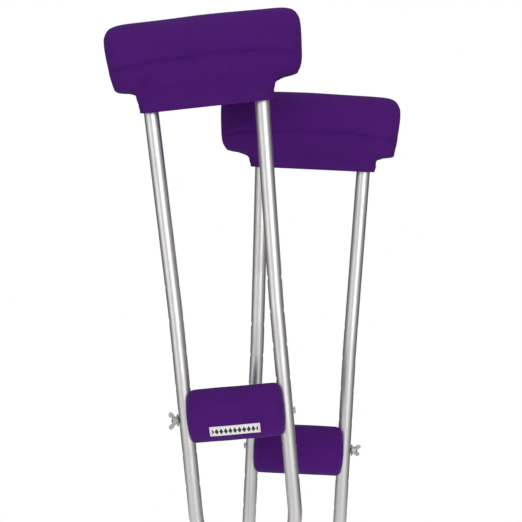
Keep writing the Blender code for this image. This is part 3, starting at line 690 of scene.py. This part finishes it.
def rounded_pad(levels):
    """A level outline with round corners, pulled down and sized at each level, then closed."""
    clear_selection()
    bpy.ops.mesh.primitive_plane_add(size=2)
    bpy.context.object.scale = (MEASURE_HALF_WIDTH, MEASURE_HALF_DEPTH, 1)
    piece = open_new()
    bpy.ops.mesh.bevel(offset=PAD_CORNER, segments=8, affect="VERTICES")
    select_mesh("SELECT")
    drop, width, depth = levels[0]
    bpy.ops.transform.resize(value=(width / MEASURE_HALF_WIDTH, depth / MEASURE_HALF_DEPTH, 1),
                             center_override=(0, 0, 0))
    bpy.ops.transform.translate(value=(0, 0, -drop))
    bpy.ops.mesh.delete(type="ONLY_FACE")
    select_mesh("SELECT")
    for (drop, width, depth), (next_drop, next_width, next_depth) in zip(levels, levels[1:]):
        pull((0, 0, drop - next_drop))
        bpy.ops.transform.resize(value=(next_width / width, next_depth / depth, 1),
                                 center_override=(0, 0, -next_drop))
    close_rims()
    return piece


def cut_foam(name):
    """Grey closed-cell foam: fine cells all over, with painted shade darkening the pit in each cell."""
    surface, tree, shader = new_surface(name, 0.95)
    pores = cells(tree, placed_pattern(tree), 900.0)
    # painted shade: the colour darkens towards each cell's middle, where the same pattern sinks the bump into a pit
    tone = mixed(tree, spread(tree, pores, 0, 0.7, 0, 1), (0.17, 0.17, 0.17), (0.30, 0.30, 0.295))
    wire(tree, shader, {"Base Color": tone})
    raise_surface(tree, shader, pores, 0.0003)
    return surface


FOAM = cut_foam("grey_foam")
foam_levels = [(drop + FOAM_INSET, width - FOAM_INSET, depth - FOAM_INSET)
               for drop, width, depth in PAD_LEVELS if drop + FOAM_INSET < FOAM_END_DROP]
last_width, last_depth = foam_levels[-1][1:]
foam_levels.append((FOAM_END_DROP - 0.002, last_width, last_depth))
foam_levels.append((FOAM_END_DROP, last_width - 0.0015, last_depth - 0.0015))
underarm_foam = rounded_pad(foam_levels)
slot_levels = [(SLOT_TOP_DROP, *SLOT_HALF), (FOAM_END_DROP + 0.01, *SLOT_HALF)]
cut(underarm_foam, [rounded_pad(slot_levels)])
smooth(underarm_foam, 40)


# Underarm covers: knitted purple fleece sewn up like a sock, pulled over the foam from above. The
# padding fills its upper part, a fold runs along the foam's lower edge, and below it the cover
# narrows to an open skirt round the two tubes, with a turned and twice stitched hem. One seam runs
# down each end.
VOXEL = 0.004
PRESSURE = 4.0
SIM_FRAMES = 20
COVER_WALL = 0.0022
HEMS = {"_a": (0.1112, 0.0030), "_b": (0.1040, -0.0010)}  # drop in the middle, how much lower in front
HEM_HALF_DEPTH = 0.015
HEM_HEIGHT = 0.0095
HEM_STEP = 0.0005
HEM_GROOVE = 0.0005
FOLD_POINTS = (  # along the cover: x, drop
    (-0.128, 0.0610), (-0.095, 0.0585), (-0.040, 0.0545), (0.030, 0.0535), (0.080, 0.0560), (0.128, 0.0640),
)
FOLD_DEPTH = 0.0026
FOLD_WIDTH = 0.0022
FOLD_LIP = 0.0007
SLACK_DEPTH = 0.0011
SLACK_WAVES = 150
WAVER_DEPTH = 0.0007
COVER_SWELL = 0.0045
SKIRT_DROPS = (0.070, 0.100)
END_SEAM_DEPTH = 0.0011
END_SEAM_WIDTH = 0.0013


def swollen(piece, most):
    """Blows the closed form up as cloth under pressure; most(point) limits how far it may move."""
    take(piece)
    piece.data.remesh_voxel_size = VOXEL
    bpy.ops.object.voxel_remesh()
    start = [vertex.co.copy() for vertex in piece.data.vertices]
    outward = [vertex.normal.copy() for vertex in piece.data.vertices]
    cloth = piece.modifiers.new("cloth", "CLOTH")
    cloth.settings.use_pressure = True
    cloth.settings.uniform_pressure_force = PRESSURE
    cloth.settings.effector_weights.gravity = 0
    cloth.point_cache.frame_start = 1
    cloth.point_cache.frame_end = SIM_FRAMES
    for step in range(1, SIM_FRAMES + 1):
        bpy.context.scene.frame_set(step)
    bpy.ops.object.modifier_apply(modifier=cloth.name)
    for vertex, rest, normal in zip(piece.data.vertices, start, outward):
        shift = vertex.co - rest
        shift -= min(shift.dot(normal), 0.0) * normal
        limit = most(rest)
        if shift.length > limit:
            vertex.co = rest + shift.normalized() * limit
    bpy.context.scene.frame_set(1)
    applied(piece, "SMOOTH", factor=0.5, iterations=2)
    return applied(piece, "SUBSURF", levels=1, render_levels=1)


def rise_between(value, start, end):
    """Rises smoothly from 0 at start to 1 at end."""
    part = min(max((value - start) / (end - start), 0.0), 1.0)
    return part * part * (3 - 2 * part)


def dip(distance, width):
    """A soft groove's share of its depth at a distance from its middle."""
    return exp(-((distance / width) ** 2))


def along_points(points, x):
    """The height of a line through the points at x."""
    for (x0, y0), (x1, y1) in zip(points, points[1:]):
        if x <= x1:
            return y0 + (y1 - y0) * rise_between(x, x0, x1)
    return points[-1][1]


def hem_drop(hem, y):
    """The hem's drop on the cover's front (-Y) or back."""
    middle, front_below = hem
    return middle - front_below * y / HEM_HALF_DEPTH


def shape_cover(piece, hem, slide):
    """Presses the folds, the hem's step and the seams in, and keeps the skirt centred on the tubes."""
    vertices = piece.data.vertices
    for vertex, normal in zip(vertices, [vertex.normal.copy() for vertex in vertices]):
        point = vertex.co.copy()
        drop = -point.z
        facing = rise_between(abs(normal.y), 0.5, 0.85)
        past_fold = drop - along_points(FOLD_POINTS, point.x)
        tuck = FOLD_DEPTH * dip(past_fold - 0.0012, FOLD_WIDTH)
        lip = FOLD_LIP * dip(past_fold + 0.0055, 0.0045)
        move = (lip - tuck) * facing
        on_end = rise_between(abs(normal.x), 0.6, 0.9) * rise_between(drop, 0.006, 0.014)
        move -= END_SEAM_DEPTH * dip(point.y, END_SEAM_WIDTH) * on_end
        above_hem = hem_drop(hem, point.y) - drop
        if above_hem < 2 * HEM_HEIGHT:
            move += HEM_STEP * rise_between(HEM_HEIGHT - above_hem, -0.0008, 0.0004)
            move -= HEM_GROOVE * dip(above_hem - HEM_HEIGHT - 0.0006, 0.0011)
        slack = rise_between(drop, 0.060, 0.075) * (1 - rise_between(drop, 0.098, 0.108))
        slack *= facing * rise_between(abs(point.x), 0.035, 0.085)
        run = abs(point.x) - 0.9 * (drop - 0.085)
        move += SLACK_DEPTH * slack * sin(run * SLACK_WAVES)
        move += WAVER_DEPTH * noise.noise(Vector((point.x * 17, point.y * 17 + 3, point.z * 17)))
        vertex.co = point + normal * move
        vertex.co.x -= slide * rise_between(drop, *SKIRT_DROPS)


def purple_fleece(name):
    """Knitted polyester fleece: rows of small loops, a soft nap, and patches where it is brushed, with painted shade
    in the low nap and between the loops.
    """
    surface, tree, shader = new_surface(name, 0.88)
    vector = placed_pattern(tree)
    brushed = mottle(tree, vector, 26.0, 4.0, 0.55)
    nap = mottle(tree, vector, 900.0, 4.0, 0.65)
    wales, courses = bands(tree, vector, "X", 210.0, 1.6, 2.0), bands(tree, vector, "Z", 260.0, 1.2)
    knit = worked_out(tree, "MULTIPLY", wales, courses)
    base = mixed(tree, spread(tree, brushed, 0.35, 0.65, 0, 1), (0.079, 0.0083, 0.182), (0.095, 0.0106, 0.210))
    # painted shade: the fleece darkens where the nap is low, the same pattern that sinks the nap's bump
    nap_shaded = mixed(tree, spread(tree, nap, 0.42, 0.62, 0.35, 0), base, (0.052, 0.0054, 0.129))
    # painted shade: the fleece darkens between the loops, where the knit's bump is low
    loops_shaded = mixed(tree, spread(tree, knit, 0.0, 0.6, 0.22, 0), nap_shaded, (0.047, 0.0048, 0.119))
    rough = spread(tree, brushed, 0.3, 0.7, 0.82, 0.95)
    wire(tree, shader, {"Base Color": loops_shaded, "Roughness": rough, "Specular IOR Level": 0.14, "Sheen Weight": 0.08,
                        "Sheen Roughness": 0.45, "Sheen Tint": (0.45, 0.20, 0.75, 1.0)})
    loops = raise_surface(tree, shader, knit, 0.00016)
    raise_surface(tree, shader, nap, 0.00018, loops)
    return surface


def cover_room(rest):
    """How far the cover may swell at this point: most over the foam, hardly at the skirt."""
    return COVER_SWELL * (1 - rise_between(-rest.z, 0.07, 0.1)) + 0.0003


FLEECE = purple_fleece("purple_fleece")
filled_cover = swollen(rounded_pad(PAD_LEVELS), cover_room)


def hemmed_cover(hem, slide):
    """A copy of the filled cover with its folds, cut open along this hem."""
    piece = copied(filled_cover)
    shape_cover(piece, hem, slide)
    take(piece)
    switch_to("EDIT")
    select_mesh("SELECT")
    middle, front_below = hem
    slope = Vector((0, -front_below / HEM_HALF_DEPTH, 1)).normalized()
    bpy.ops.mesh.bisect(plane_co=(0, 0, -middle), plane_no=slope, clear_inner=True, use_fill=False)
    switch_to("OBJECT")
    applied(piece, "SOLIDIFY", thickness=COVER_WALL, offset=-1, use_rim=True)
    return smooth(piece, 60)


def thread(name, colour):
    """Twisted sewing thread, with painted shade in the grooves of its twist."""
    surface, tree, shader = new_surface(name, 0.6)
    twist = bands(tree, placed_pattern(tree), "DIAGONAL", 900.0)
    # painted shade: the thread darkens where the twist's bump sinks into its grooves
    dark = tuple(0.6 * part for part in colour)
    wire(tree, shader, {"Base Color": mixed(tree, twist, dark, colour)})
    raise_surface(tree, shader, twist, 0.00005)
    return surface


PURPLE_THREAD = thread("purple_thread", (0.060, 0.009, 0.145))
STITCH_LENGTH = 0.0026
STITCH_PITCH = 0.0034
STITCH_RADIUS = 0.0003
STITCH_LIFT = 0.0001
SEARCH_FROM = 0.03
SEAM_TILT = radians(24)
HEM_ROWS = (0.0004, -0.0024)
SKIRT_REACH = 1.6 * 0.0853
SKIRT_FLAT_HALF = 0.074


def single_stitch():
    """One stitch along X, sunk at both ends."""
    clear_selection()
    bpy.ops.mesh.primitive_uv_sphere_add(segments=6, ring_count=4, radius=STITCH_RADIUS,
                                         rotation=(0, pi / 2, 0))
    stitch = open_new()
    bpy.ops.transform.resize(value=(0.5 * STITCH_LENGTH / STITCH_RADIUS, 1.3, 1.0), center_override=(0, 0, 0))
    switch_to("OBJECT")
    return stitch


def stitched(line, tree, closed, tilt=0.0):
    """Lays stitches along the line of (point, outward) pairs, on the surface in the search tree."""
    stitch = single_stitch()
    made = bmesh.new()
    points = []
    for guess, outward in line:
        hit, normal, _, _ = tree.ray_cast(guess + outward * SEARCH_FROM, -outward)
        if hit is not None:
            points.append((hit, normal))
    pairs = list(zip(points, points[1:] + points[:1] if closed else points[1:]))
    travelled = 0.0
    for (start, normal), (end, _) in pairs:
        travelled += (end - start).length
        if travelled < STITCH_PITCH:
            continue
        travelled %= STITCH_PITCH
        along = (end - start).normalized()
        across = normal.cross(along).normalized()
        turn = Matrix((along, across, along.cross(across))).transposed().to_4x4()
        place = Matrix.Translation(start + normal * STITCH_LIFT) @ turn @ Matrix.Rotation(tilt, 4, "Z")
        mesh = stitch.data.copy()
        mesh.transform(place)
        made.from_mesh(mesh)
        bpy.data.meshes.remove(mesh)
    remove(stitch)
    mesh = bpy.data.meshes.new("stitches")
    made.to_mesh(mesh)
    made.free()
    piece = bpy.data.objects.new("stitches", mesh)
    bpy.context.scene.collection.objects.link(piece)
    return smooth(piece, 60)


def search_tree(piece):
    graph = bpy.context.evaluated_depsgraph_get()
    return BVHTree.FromObject(piece, graph)


def hem_line(hem, above, slide, steps=700):
    """Round the skirt, this far above its hem: along both faces, and fanned round the ends."""
    line = []
    for step in range(steps):
        angle = 2 * pi * step / steps
        side, face = copysign(1, cos(angle)), copysign(1, sin(angle))
        reach = SKIRT_REACH * abs(cos(angle))
        if reach > SKIRT_FLAT_HALF:
            swing = (reach - SKIRT_FLAT_HALF) / (SKIRT_REACH - SKIRT_FLAT_HALF)
            turned = face * pi / 2 * (1 - swing)
            outward = Vector((side * cos(turned), sin(turned), 0))
            y = 0.009 * sin(turned)
        else:
            outward = Vector((0, face, 0))
            y = 0.0165 * face
        x = side * min(reach, SKIRT_FLAT_HALF) - slide
        line.append((Vector((x, 0, above - hem_drop(hem, y))), outward))
    return line


def end_line(side, steps=240):
    """Down the seam on one end of the cover."""
    drops = [0.010 + 0.092 * step / steps for step in range(steps + 1)]
    return [(Vector((side * 0.10, 0, -drop)), Vector((side, 0, 0))) for drop in drops]


COVER_SITS = {"_a": (0.0042, 0.0044, radians(-1.0)), "_b": (0.0075, -0.0068, 0.0)}  # slide, lift, tilt
TILT_DROP = 0.06
for suffix, place in PLACES.items():
    slide, lift, tilt = COVER_SITS[suffix]
    hub = Matrix.Translation((slide, 0, lift - TILT_DROP))
    seat = place @ hub @ Matrix.Rotation(tilt, 4, "Y") @ Matrix.Translation((0, 0, TILT_DROP))
    pad = fit(copied(underarm_foam), "foam_block" + suffix, seat, FOAM, "crutch" + suffix, "foam",
              "underarm_foam" + suffix)
    hem = HEMS[suffix]
    cover = hemmed_cover(hem, slide)
    cover_tree = search_tree(cover)
    rows = [stitched(hem_line(hem, HEM_HEIGHT + row, slide), cover_tree, True) for row in HEM_ROWS]
    rows += [stitched(end_line(side), cover_tree, False, tilt=SEAM_TILT) for side in (-1, 1)]
    fit(joined(rows), "cover_stitching" + suffix, seat, PURPLE_THREAD, "crutch" + suffix, "purple_fabric")
    skin = fit(cover, "fleece_cover" + suffix, seat, FLEECE, "crutch" + suffix, "purple_fabric",
               "underarm_cover" + suffix)
remove(underarm_foam, filled_cover)


# Hand grip sleeves: the same fleece round a thick foam roll, on a rigid core with the grip bolt
# through it. The ends are hollowed where they lie against the side tubes, and the sleeve's one
# seam runs along its underside.
SLEEVE_RADIUS = 0.0349
SLEEVE_HALF_LENGTH = 0.0640
SLEEVE_SITS = {"_a": 0.0036, "_b": -0.0022}
SLEEVE_BORE = 0.0154
SADDLE_RADIUS = SIDE_RADIUS + 0.0004
SLEEVE_ENDS = (  # radius, distance from the end
    (0.0120, 0.0), (0.0200, 0.0010), (0.0270, 0.0028), (0.0310, 0.0044), (0.0336, 0.0058), (SLEEVE_RADIUS, 0.0074),
)
SLEEVE_RINGS = (-0.04, -0.02, 0, 0.02, 0.04)
SLEEVE_SWELL = 0.0013
SLEEVE_SEAM_DEPTH = 0.0012
SLEEVE_SEAM_WIDTH = 0.0014
SLEEVE_SEAM_HALF = 0.052
SLEEVE_WAVER = 0.0006
start = [(radius, back - SLEEVE_HALF_LENGTH) for radius, back in SLEEVE_ENDS]
profile = start + [(SLEEVE_RADIUS, x) for x in SLEEVE_RINGS] + [(r, -x) for r, x in reversed(start)]
sleeve = settle(turned_piece(profile, 48), Z_TO_X)
swollen(sleeve, lambda rest: SLEEVE_SWELL)
vertices = sleeve.data.vertices
for vertex, normal in zip(vertices, [vertex.normal.copy() for vertex in vertices]):
    point = vertex.co.copy()
    below = rise_between(-normal.z, 0.7, 0.95)
    move = -SLEEVE_SEAM_DEPTH * dip(point.y, SLEEVE_SEAM_WIDTH) * below
    move += SLEEVE_WAVER * noise.noise(Vector((point.x * 24, point.y * 24, point.z * 24 + 7)))
    vertex.co = point + normal * move
label_tree = search_tree(sleeve)
whole_sleeve = copied(sleeve)
saddles = [drill_bit((side * SIDE_HALF_SPACING, 0, 0), Matrix(), SADDLE_RADIUS, 0.1, 48) for side in (-1, 1)]
cut(sleeve, saddles)
cut(sleeve, [drill_bit((0, 0, 0), Z_TO_X, SLEEVE_BORE, 0.2, 48)])
smooth(sleeve, 50)
seam_points = [(Vector((SLEEVE_SEAM_HALF * (step / 150 - 1), 0, 0)), Vector((0, 0, -1))) for step in range(301)]
sleeve_stitches = stitched(seam_points, label_tree, False, tilt=SEAM_TILT)
GRIP_PLACES = {suffix: place @ down(GRIP_DROP) for suffix, place in PLACES.items()}
SLEEVE_PLACES = {suffix: place @ Matrix.Translation((0, 0, SLEEVE_SITS[suffix]))
                 for suffix, place in GRIP_PLACES.items()}
for suffix, sleeve_place in SLEEVE_PLACES.items():
    roll = fit(copied(sleeve), "grip_sleeve" + suffix, sleeve_place, FLEECE, "grip" + suffix, "purple_fabric",
               "grip_cover" + suffix, "grip_foam" + suffix)
fit_all(sleeve_stitches, SLEEVE_PLACES, Matrix(), "sleeve_stitching", PURPLE_THREAD, "grip", "purple_fabric")
remove(sleeve, sleeve_stitches)


# Grip label: a white satin label with cut and turned edges, sewn low on the front of the sleeve.
# It carries only a woven row of black lozenges.
LABEL_SIZE = (0.0648, 0.0165)
LABEL_SHIFT = -0.0014
LABEL_TURN = radians(22.5)
LABEL_LIFT = 0.0005
LABEL_THICKNESS = 0.0005
LABEL_MARGIN = 0.0012
LOZENGES = 11
LOZENGE_STEEPNESS = 1.45
LOZENGE_REACH = 0.46
LOZENGE_ROW_HALF = 0.455


def from_middle(tree, value):
    return worked_out(tree, "ABSOLUTE", worked_out(tree, "SUBTRACT", value, 0.5))


def woven_label(name):
    """White satin weave with its lozenge row, by the label's own flat coordinates, and painted shade in the grooves
    of the weave.
    """
    surface, tree, shader = new_surface(name, 0.55)
    flat = added(tree, "SeparateXYZ", {"Vector": placed_pattern(tree, source="UV")})
    along, up = flat.outputs["X"], flat.outputs["Y"]
    sideways = from_middle(tree, worked_out(tree, "FRACT", worked_out(tree, "MULTIPLY", along, LOZENGES)))
    upwards = worked_out(tree, "MULTIPLY", from_middle(tree, up), LOZENGE_STEEPNESS)
    solid = worked_out(tree, "LESS_THAN", worked_out(tree, "ADD", sideways, upwards), LOZENGE_REACH)
    within = worked_out(tree, "LESS_THAN", from_middle(tree, along), LOZENGE_ROW_HALF)
    black = worked_out(tree, "MULTIPLY", solid, within)
    weft = bands(tree, placed_pattern(tree), "X", 420.0)
    # painted shade: the white darkens where the weft's bump is low
    white = mixed(tree, weft, (0.86, 0.86, 0.85), (0.95, 0.95, 0.94))
    wire(tree, shader, {"Base Color": mixed(tree, black, white, (0.02, 0.02, 0.022)), "Sheen Weight": 0.15})
    raise_surface(tree, shader, weft, 0.00006)
    return surface


LABEL_CLOTH = woven_label("white_woven_label")
WHITE_THREAD = thread("white_thread", (0.85, 0.85, 0.84))
clear_selection()
outward = Vector((0, -cos(LABEL_TURN), -sin(LABEL_TURN)))
bpy.ops.mesh.primitive_grid_add(x_subdivisions=48, y_subdivisions=14, size=1, calc_uvs=True)
label = bpy.context.object
label.scale = (*LABEL_SIZE, 1)
bpy.ops.object.transform_apply(location=False, rotation=False, scale=True)
settle(label, Matrix.Translation(Vector((LABEL_SHIFT, 0, 0)) + outward * (SLEEVE_RADIUS + 0.004))
       @ Matrix.Rotation(pi / 2 + LABEL_TURN, 4, "X"))
applied(label, "SHRINKWRAP", target=whole_sleeve, wrap_method="NEAREST_SURFACEPOINT",
        wrap_mode="ABOVE_SURFACE", offset=LABEL_LIFT)
applied(label, "SOLIDIFY", thickness=LABEL_THICKNESS, offset=0)
smooth(label, 50)
edge_x, edge_up = 0.5 * LABEL_SIZE[0] - LABEL_MARGIN, 0.5 * LABEL_SIZE[1] - LABEL_MARGIN
corners = ((-1, -1), (1, -1), (1, 1), (-1, 1))
border = []
for (x0, u0), (x1, u1) in zip(corners, corners[1:] + corners[:1]):
    for step in range(120):
        share = step / 120
        x = LABEL_SHIFT + edge_x * (x0 + (x1 - x0) * share)
        turn = LABEL_TURN - edge_up * (u0 + (u1 - u0) * share) / (SLEEVE_RADIUS + 0.002)
        direction = Vector((0, -cos(turn), -sin(turn)))
        border.append((Vector((x, 0, 0)) + direction * 0.02, direction))
label_stitches = stitched(border, search_tree(label), True)
remove(whole_sleeve)
for suffix, sleeve_place in SLEEVE_PLACES.items():
    tag = fit(copied(label), "woven_label" + suffix, sleeve_place, LABEL_CLOTH, "grip" + suffix, "white_label",
              "grip_label" + suffix)
    rows = fit(copied(label_stitches), "label_stitching" + suffix, sleeve_place, WHITE_THREAD, "grip" + suffix,
               "white_label")
remove(label, label_stitches)


# Grip bolts and washers: a 1/4 inch round-headed bolt through both tubes and the grip, with its
# thread running out of the left tube under a flat washer. Both are zinc plated.
BOLT_RADIUS = 0.003175
BOLT_SEAT = 0.076525
BOLT_HEAD_RADIUS = 0.0050
BOLT_HEAD_HEIGHT = 0.0020
BOLT_HEAD_EDGE = 0.0006
WASHER_RADIUS = 0.008
WASHER_THICKNESS = 0.0016
NUT_BORE = 0.0036
NUT_HEIGHT = 0.007
THREAD_PITCH = 0.00127
THREAD_DEPTH = 0.0005
thread_end = BOLT_SEAT + WASHER_THICKNESS + NUT_HEIGHT + GAP
profile = [(BOLT_RADIUS - 0.0009, -thread_end), (BOLT_RADIUS - THREAD_DEPTH, 0.0005 - thread_end)]
height = 0.0009 - thread_end
while height < -BOLT_SEAT + 0.004:
    profile += [(BOLT_RADIUS, height), (BOLT_RADIUS, height + 0.0002),
                (BOLT_RADIUS - THREAD_DEPTH, height + 0.55 * THREAD_PITCH)]
    height += THREAD_PITCH
profile += [(BOLT_RADIUS, height), (BOLT_RADIUS, BOLT_SEAT), (BOLT_HEAD_RADIUS - 0.0003, BOLT_SEAT),
            (BOLT_HEAD_RADIUS, BOLT_SEAT + BOLT_HEAD_EDGE / 2)]
profile += dome(BOLT_HEAD_RADIUS, BOLT_SEAT + BOLT_HEAD_EDGE, BOLT_HEAD_HEIGHT - BOLT_HEAD_EDGE, 83, 7)
bolt = smooth(turned_piece(profile, 32), 35)
half = WASHER_THICKNESS / 2
edge = 0.0003
profile = [(NUT_BORE, edge - half), (NUT_BORE + edge, -half), (WASHER_RADIUS - edge, -half),
           (WASHER_RADIUS, edge - half), (WASHER_RADIUS, half - edge), (WASHER_RADIUS - edge, half),
           (NUT_BORE + edge, half), (NUT_BORE, half - edge)]
washer = smooth(turned_piece(profile, TUBE_SIDES, hollow=True), 50)
fit_all(bolt, GRIP_PLACES, Z_TO_X, "round_head_bolt", ZINC_STEEL, "grip", "steel", "grip_bolt")
seat = Matrix.Translation((-BOLT_SEAT - half, 0, 0)) @ Z_TO_X
fit_all(washer, GRIP_PLACES, seat, "flat_washer", ZINC_STEEL, "washer", "steel", "grip_washer")
remove(bolt, washer)


# Wing nuts: die-cast zinc, with a tapered hub and two dished wings that splay away from the tube.
NUT_BASE_RADIUS = 0.0055
NUT_TOP_RADIUS = 0.0046
NUT_TURN = radians(32)
WING_TIP = (0.0086, 0, 0.0079)
WING_TIP_RADIUS = 0.0037
HUB_HEIGHT = 0.0052
WING_THICKNESS = 0.0025
WING_ROOT = (0.0042, 0, 0.0029)
WING_ROOT_SIZE = (0.0014, WING_THICKNESS + 0.0005, 0.0048)
NUT_CORE = 0.0021
CAST_VOXEL = 0.00028


def nut_wing(side):
    """A paddle from the hub to a round tip, thinner and dished on both faces."""
    clear_selection()
    bpy.ops.mesh.primitive_cylinder_add(vertices=28, radius=WING_TIP_RADIUS, depth=WING_THICKNESS - 0.0004,
                                        location=WING_TIP, rotation=(pi / 2, 0, 0))
    tip = bpy.context.object
    clear_selection()
    bpy.ops.mesh.primitive_cube_add(size=1, location=WING_ROOT, scale=WING_ROOT_SIZE)
    wing = joined([bpy.context.object, tip])
    open_new()
    bpy.ops.mesh.convex_hull()
    select_mesh("DESELECT")
    for face in bmesh.from_edit_mesh(wing.data).faces:
        face.select = abs(face.normal.y) > 0.9
    bmesh.update_edit_mesh(wing.data)
    bpy.ops.mesh.dissolve_limited(angle_limit=radians(12))
    bpy.ops.mesh.inset(thickness=0.0010, depth=-0.0005)
    make_outward()
    return settle(wing, Matrix.Rotation(0 if side > 0 else pi, 4, "Z"))


profile = [(NUT_CORE, 0), (NUT_BASE_RADIUS - 0.0003, 0), (NUT_BASE_RADIUS, 0.0004),
           (NUT_TOP_RADIUS + 0.0001, HUB_HEIGHT - 0.0005), (NUT_TOP_RADIUS - 0.0004, HUB_HEIGHT),
           (NUT_CORE, HUB_HEIGHT)]
wing_nut = turned_piece(profile, 40)
cut(wing_nut, [nut_wing(1)], "UNION")
cut(wing_nut, [nut_wing(-1)], "UNION")
take(wing_nut)
wing_nut.data.remesh_voxel_size = CAST_VOXEL
bpy.ops.object.voxel_remesh()
applied(wing_nut, "SMOOTH", factor=0.5, iterations=4)
cut(wing_nut, [drill_bit((0, 0, 0.003), Matrix(), NUT_BORE - 0.0002, 0.02, 32)])
smooth(wing_nut, 50)
CAST_ZINC = zinc_plate("cast_zinc", (0.60, 0.61, 0.59), 0.36, 0.00005)
outwards = Matrix.Rotation(-pi / 2, 4, "Y") @ Matrix.Rotation(NUT_TURN, 4, "Z")
base = Matrix.Translation((-BOLT_SEAT - WASHER_THICKNESS - GAP, 0, 0))
fit_all(wing_nut, GRIP_PLACES, base @ outwards, "cast_wing_nut", CAST_ZINC, "wing_nut", "wing_nut_metal", "wing_nut")
remove(wing_nut)


# Floor, light and camera: a plain pale floor, two soft lights in front, and a surround that the
# camera sees as white. In reflections the surround is pale in front and straight behind and dark
# between the two, which draws the tubes' edges.
FLOOR_RADIUS = 1.35
WHITE = (1.0, 1.0, 1.0, 1.0)
SURROUND = (  # from the front to the back: place, brightness
    (0.0, 0.66), (0.20, 0.62), (0.38, 0.46), (0.55, 0.20), (0.78, 0.10), (0.93, 0.16), (1.0, 0.75),
)
OVERHEAD = (0.72, 0.72, 0.72)
clear_selection()
bpy.ops.mesh.primitive_circle_add(vertices=96, radius=FLOOR_RADIUS, fill_type="NGON")
floor = bpy.context.object
floor.name = "studio_floor"
surface, tree, shader = new_surface("pale_floor", 0.9)
wire(tree, shader, {"Base Color": (0.93, 0.93, 0.93, 1.0), "Specular IOR Level": 0.1, "Emission Color": WHITE,
                    "Emission Strength": 0.12})
floor.data.materials.append(surface)

world = bpy.data.worlds.new("pale_surround")
bpy.context.scene.world = world
world.use_nodes = True
tree = world.node_tree
tree.nodes.clear()
direction = added(tree, "TexCoord", {}).outputs["Generated"]
x, y, z = added(tree, "SeparateXYZ", {"Vector": direction}).outputs
ramp = added(tree, "ValToRGB", {"Fac": spread(tree, y, -1, 1, 0, 1)})
while len(ramp.color_ramp.elements) < len(SURROUND):
    ramp.color_ramp.elements.new(0.5)
for stop, (place, level) in zip(ramp.color_ramp.elements, SURROUND):
    stop.position = place
    stop.color = (level, 0.985 * level, 0.985 * level, 1.0)
around = mixed(tree, spread(tree, x, -1, 1, 0, 0.3), ramp.outputs["Color"], (0.0, 0.0, 0.0))
shade = mixed(tree, spread(tree, z, 0.3, 0.7, 0.0, 0.9), around, OVERHEAD)
lit = added(tree, "Background", {"Color": shade, "Strength": 1.0}).outputs["Background"]
seen = added(tree, "Background", {"Color": WHITE}).outputs["Background"]
from_camera = added(tree, "LightPath", {}).outputs["Is Camera Ray"]
choice = added(tree, "MixShader", {"Fac": from_camera, 1: lit, 2: seen})
added(tree, "OutputWorld", {"Surface": choice.outputs["Shader"]})


def soft_light(name, place, aim, size, watts):
    lamp = bpy.data.lights.new(name, "AREA")
    lamp.shape = "RECTANGLE"
    lamp.size, lamp.size_y = size
    lamp.energy = watts
    made = bpy.data.objects.new(name, lamp)
    made.location = place
    made.rotation_euler = (Vector(aim) - Vector(place)).to_track_quat("-Z", "Y").to_euler()
    bpy.context.scene.collection.objects.link(made)


SUBJECT = (0, 0, 0.8)
soft_light("front_softbox", (1.3, -2.9, 1.4), SUBJECT, (2.6, 3.0), 33)
soft_light("front_fill", (-2.6, -2.2, 0.8), SUBJECT, (2.2, 2.2), 10)

LENS = 53.45
CAMERA_PLACE = (0, -1.0462, 1.0725)
CAMERA_TURN = (radians(85.1), 0, 0)
lens = bpy.data.cameras.new("camera")
lens.sensor_width = 36
lens.lens = LENS
lens.clip_end = 60
camera = bpy.data.objects.new("camera", lens)
camera.location = CAMERA_PLACE
camera.rotation_euler = CAMERA_TURN
bpy.context.scene.collection.objects.link(camera)
bpy.context.scene.camera = camera
bpy.context.scene.view_settings.view_transform = "Standard"
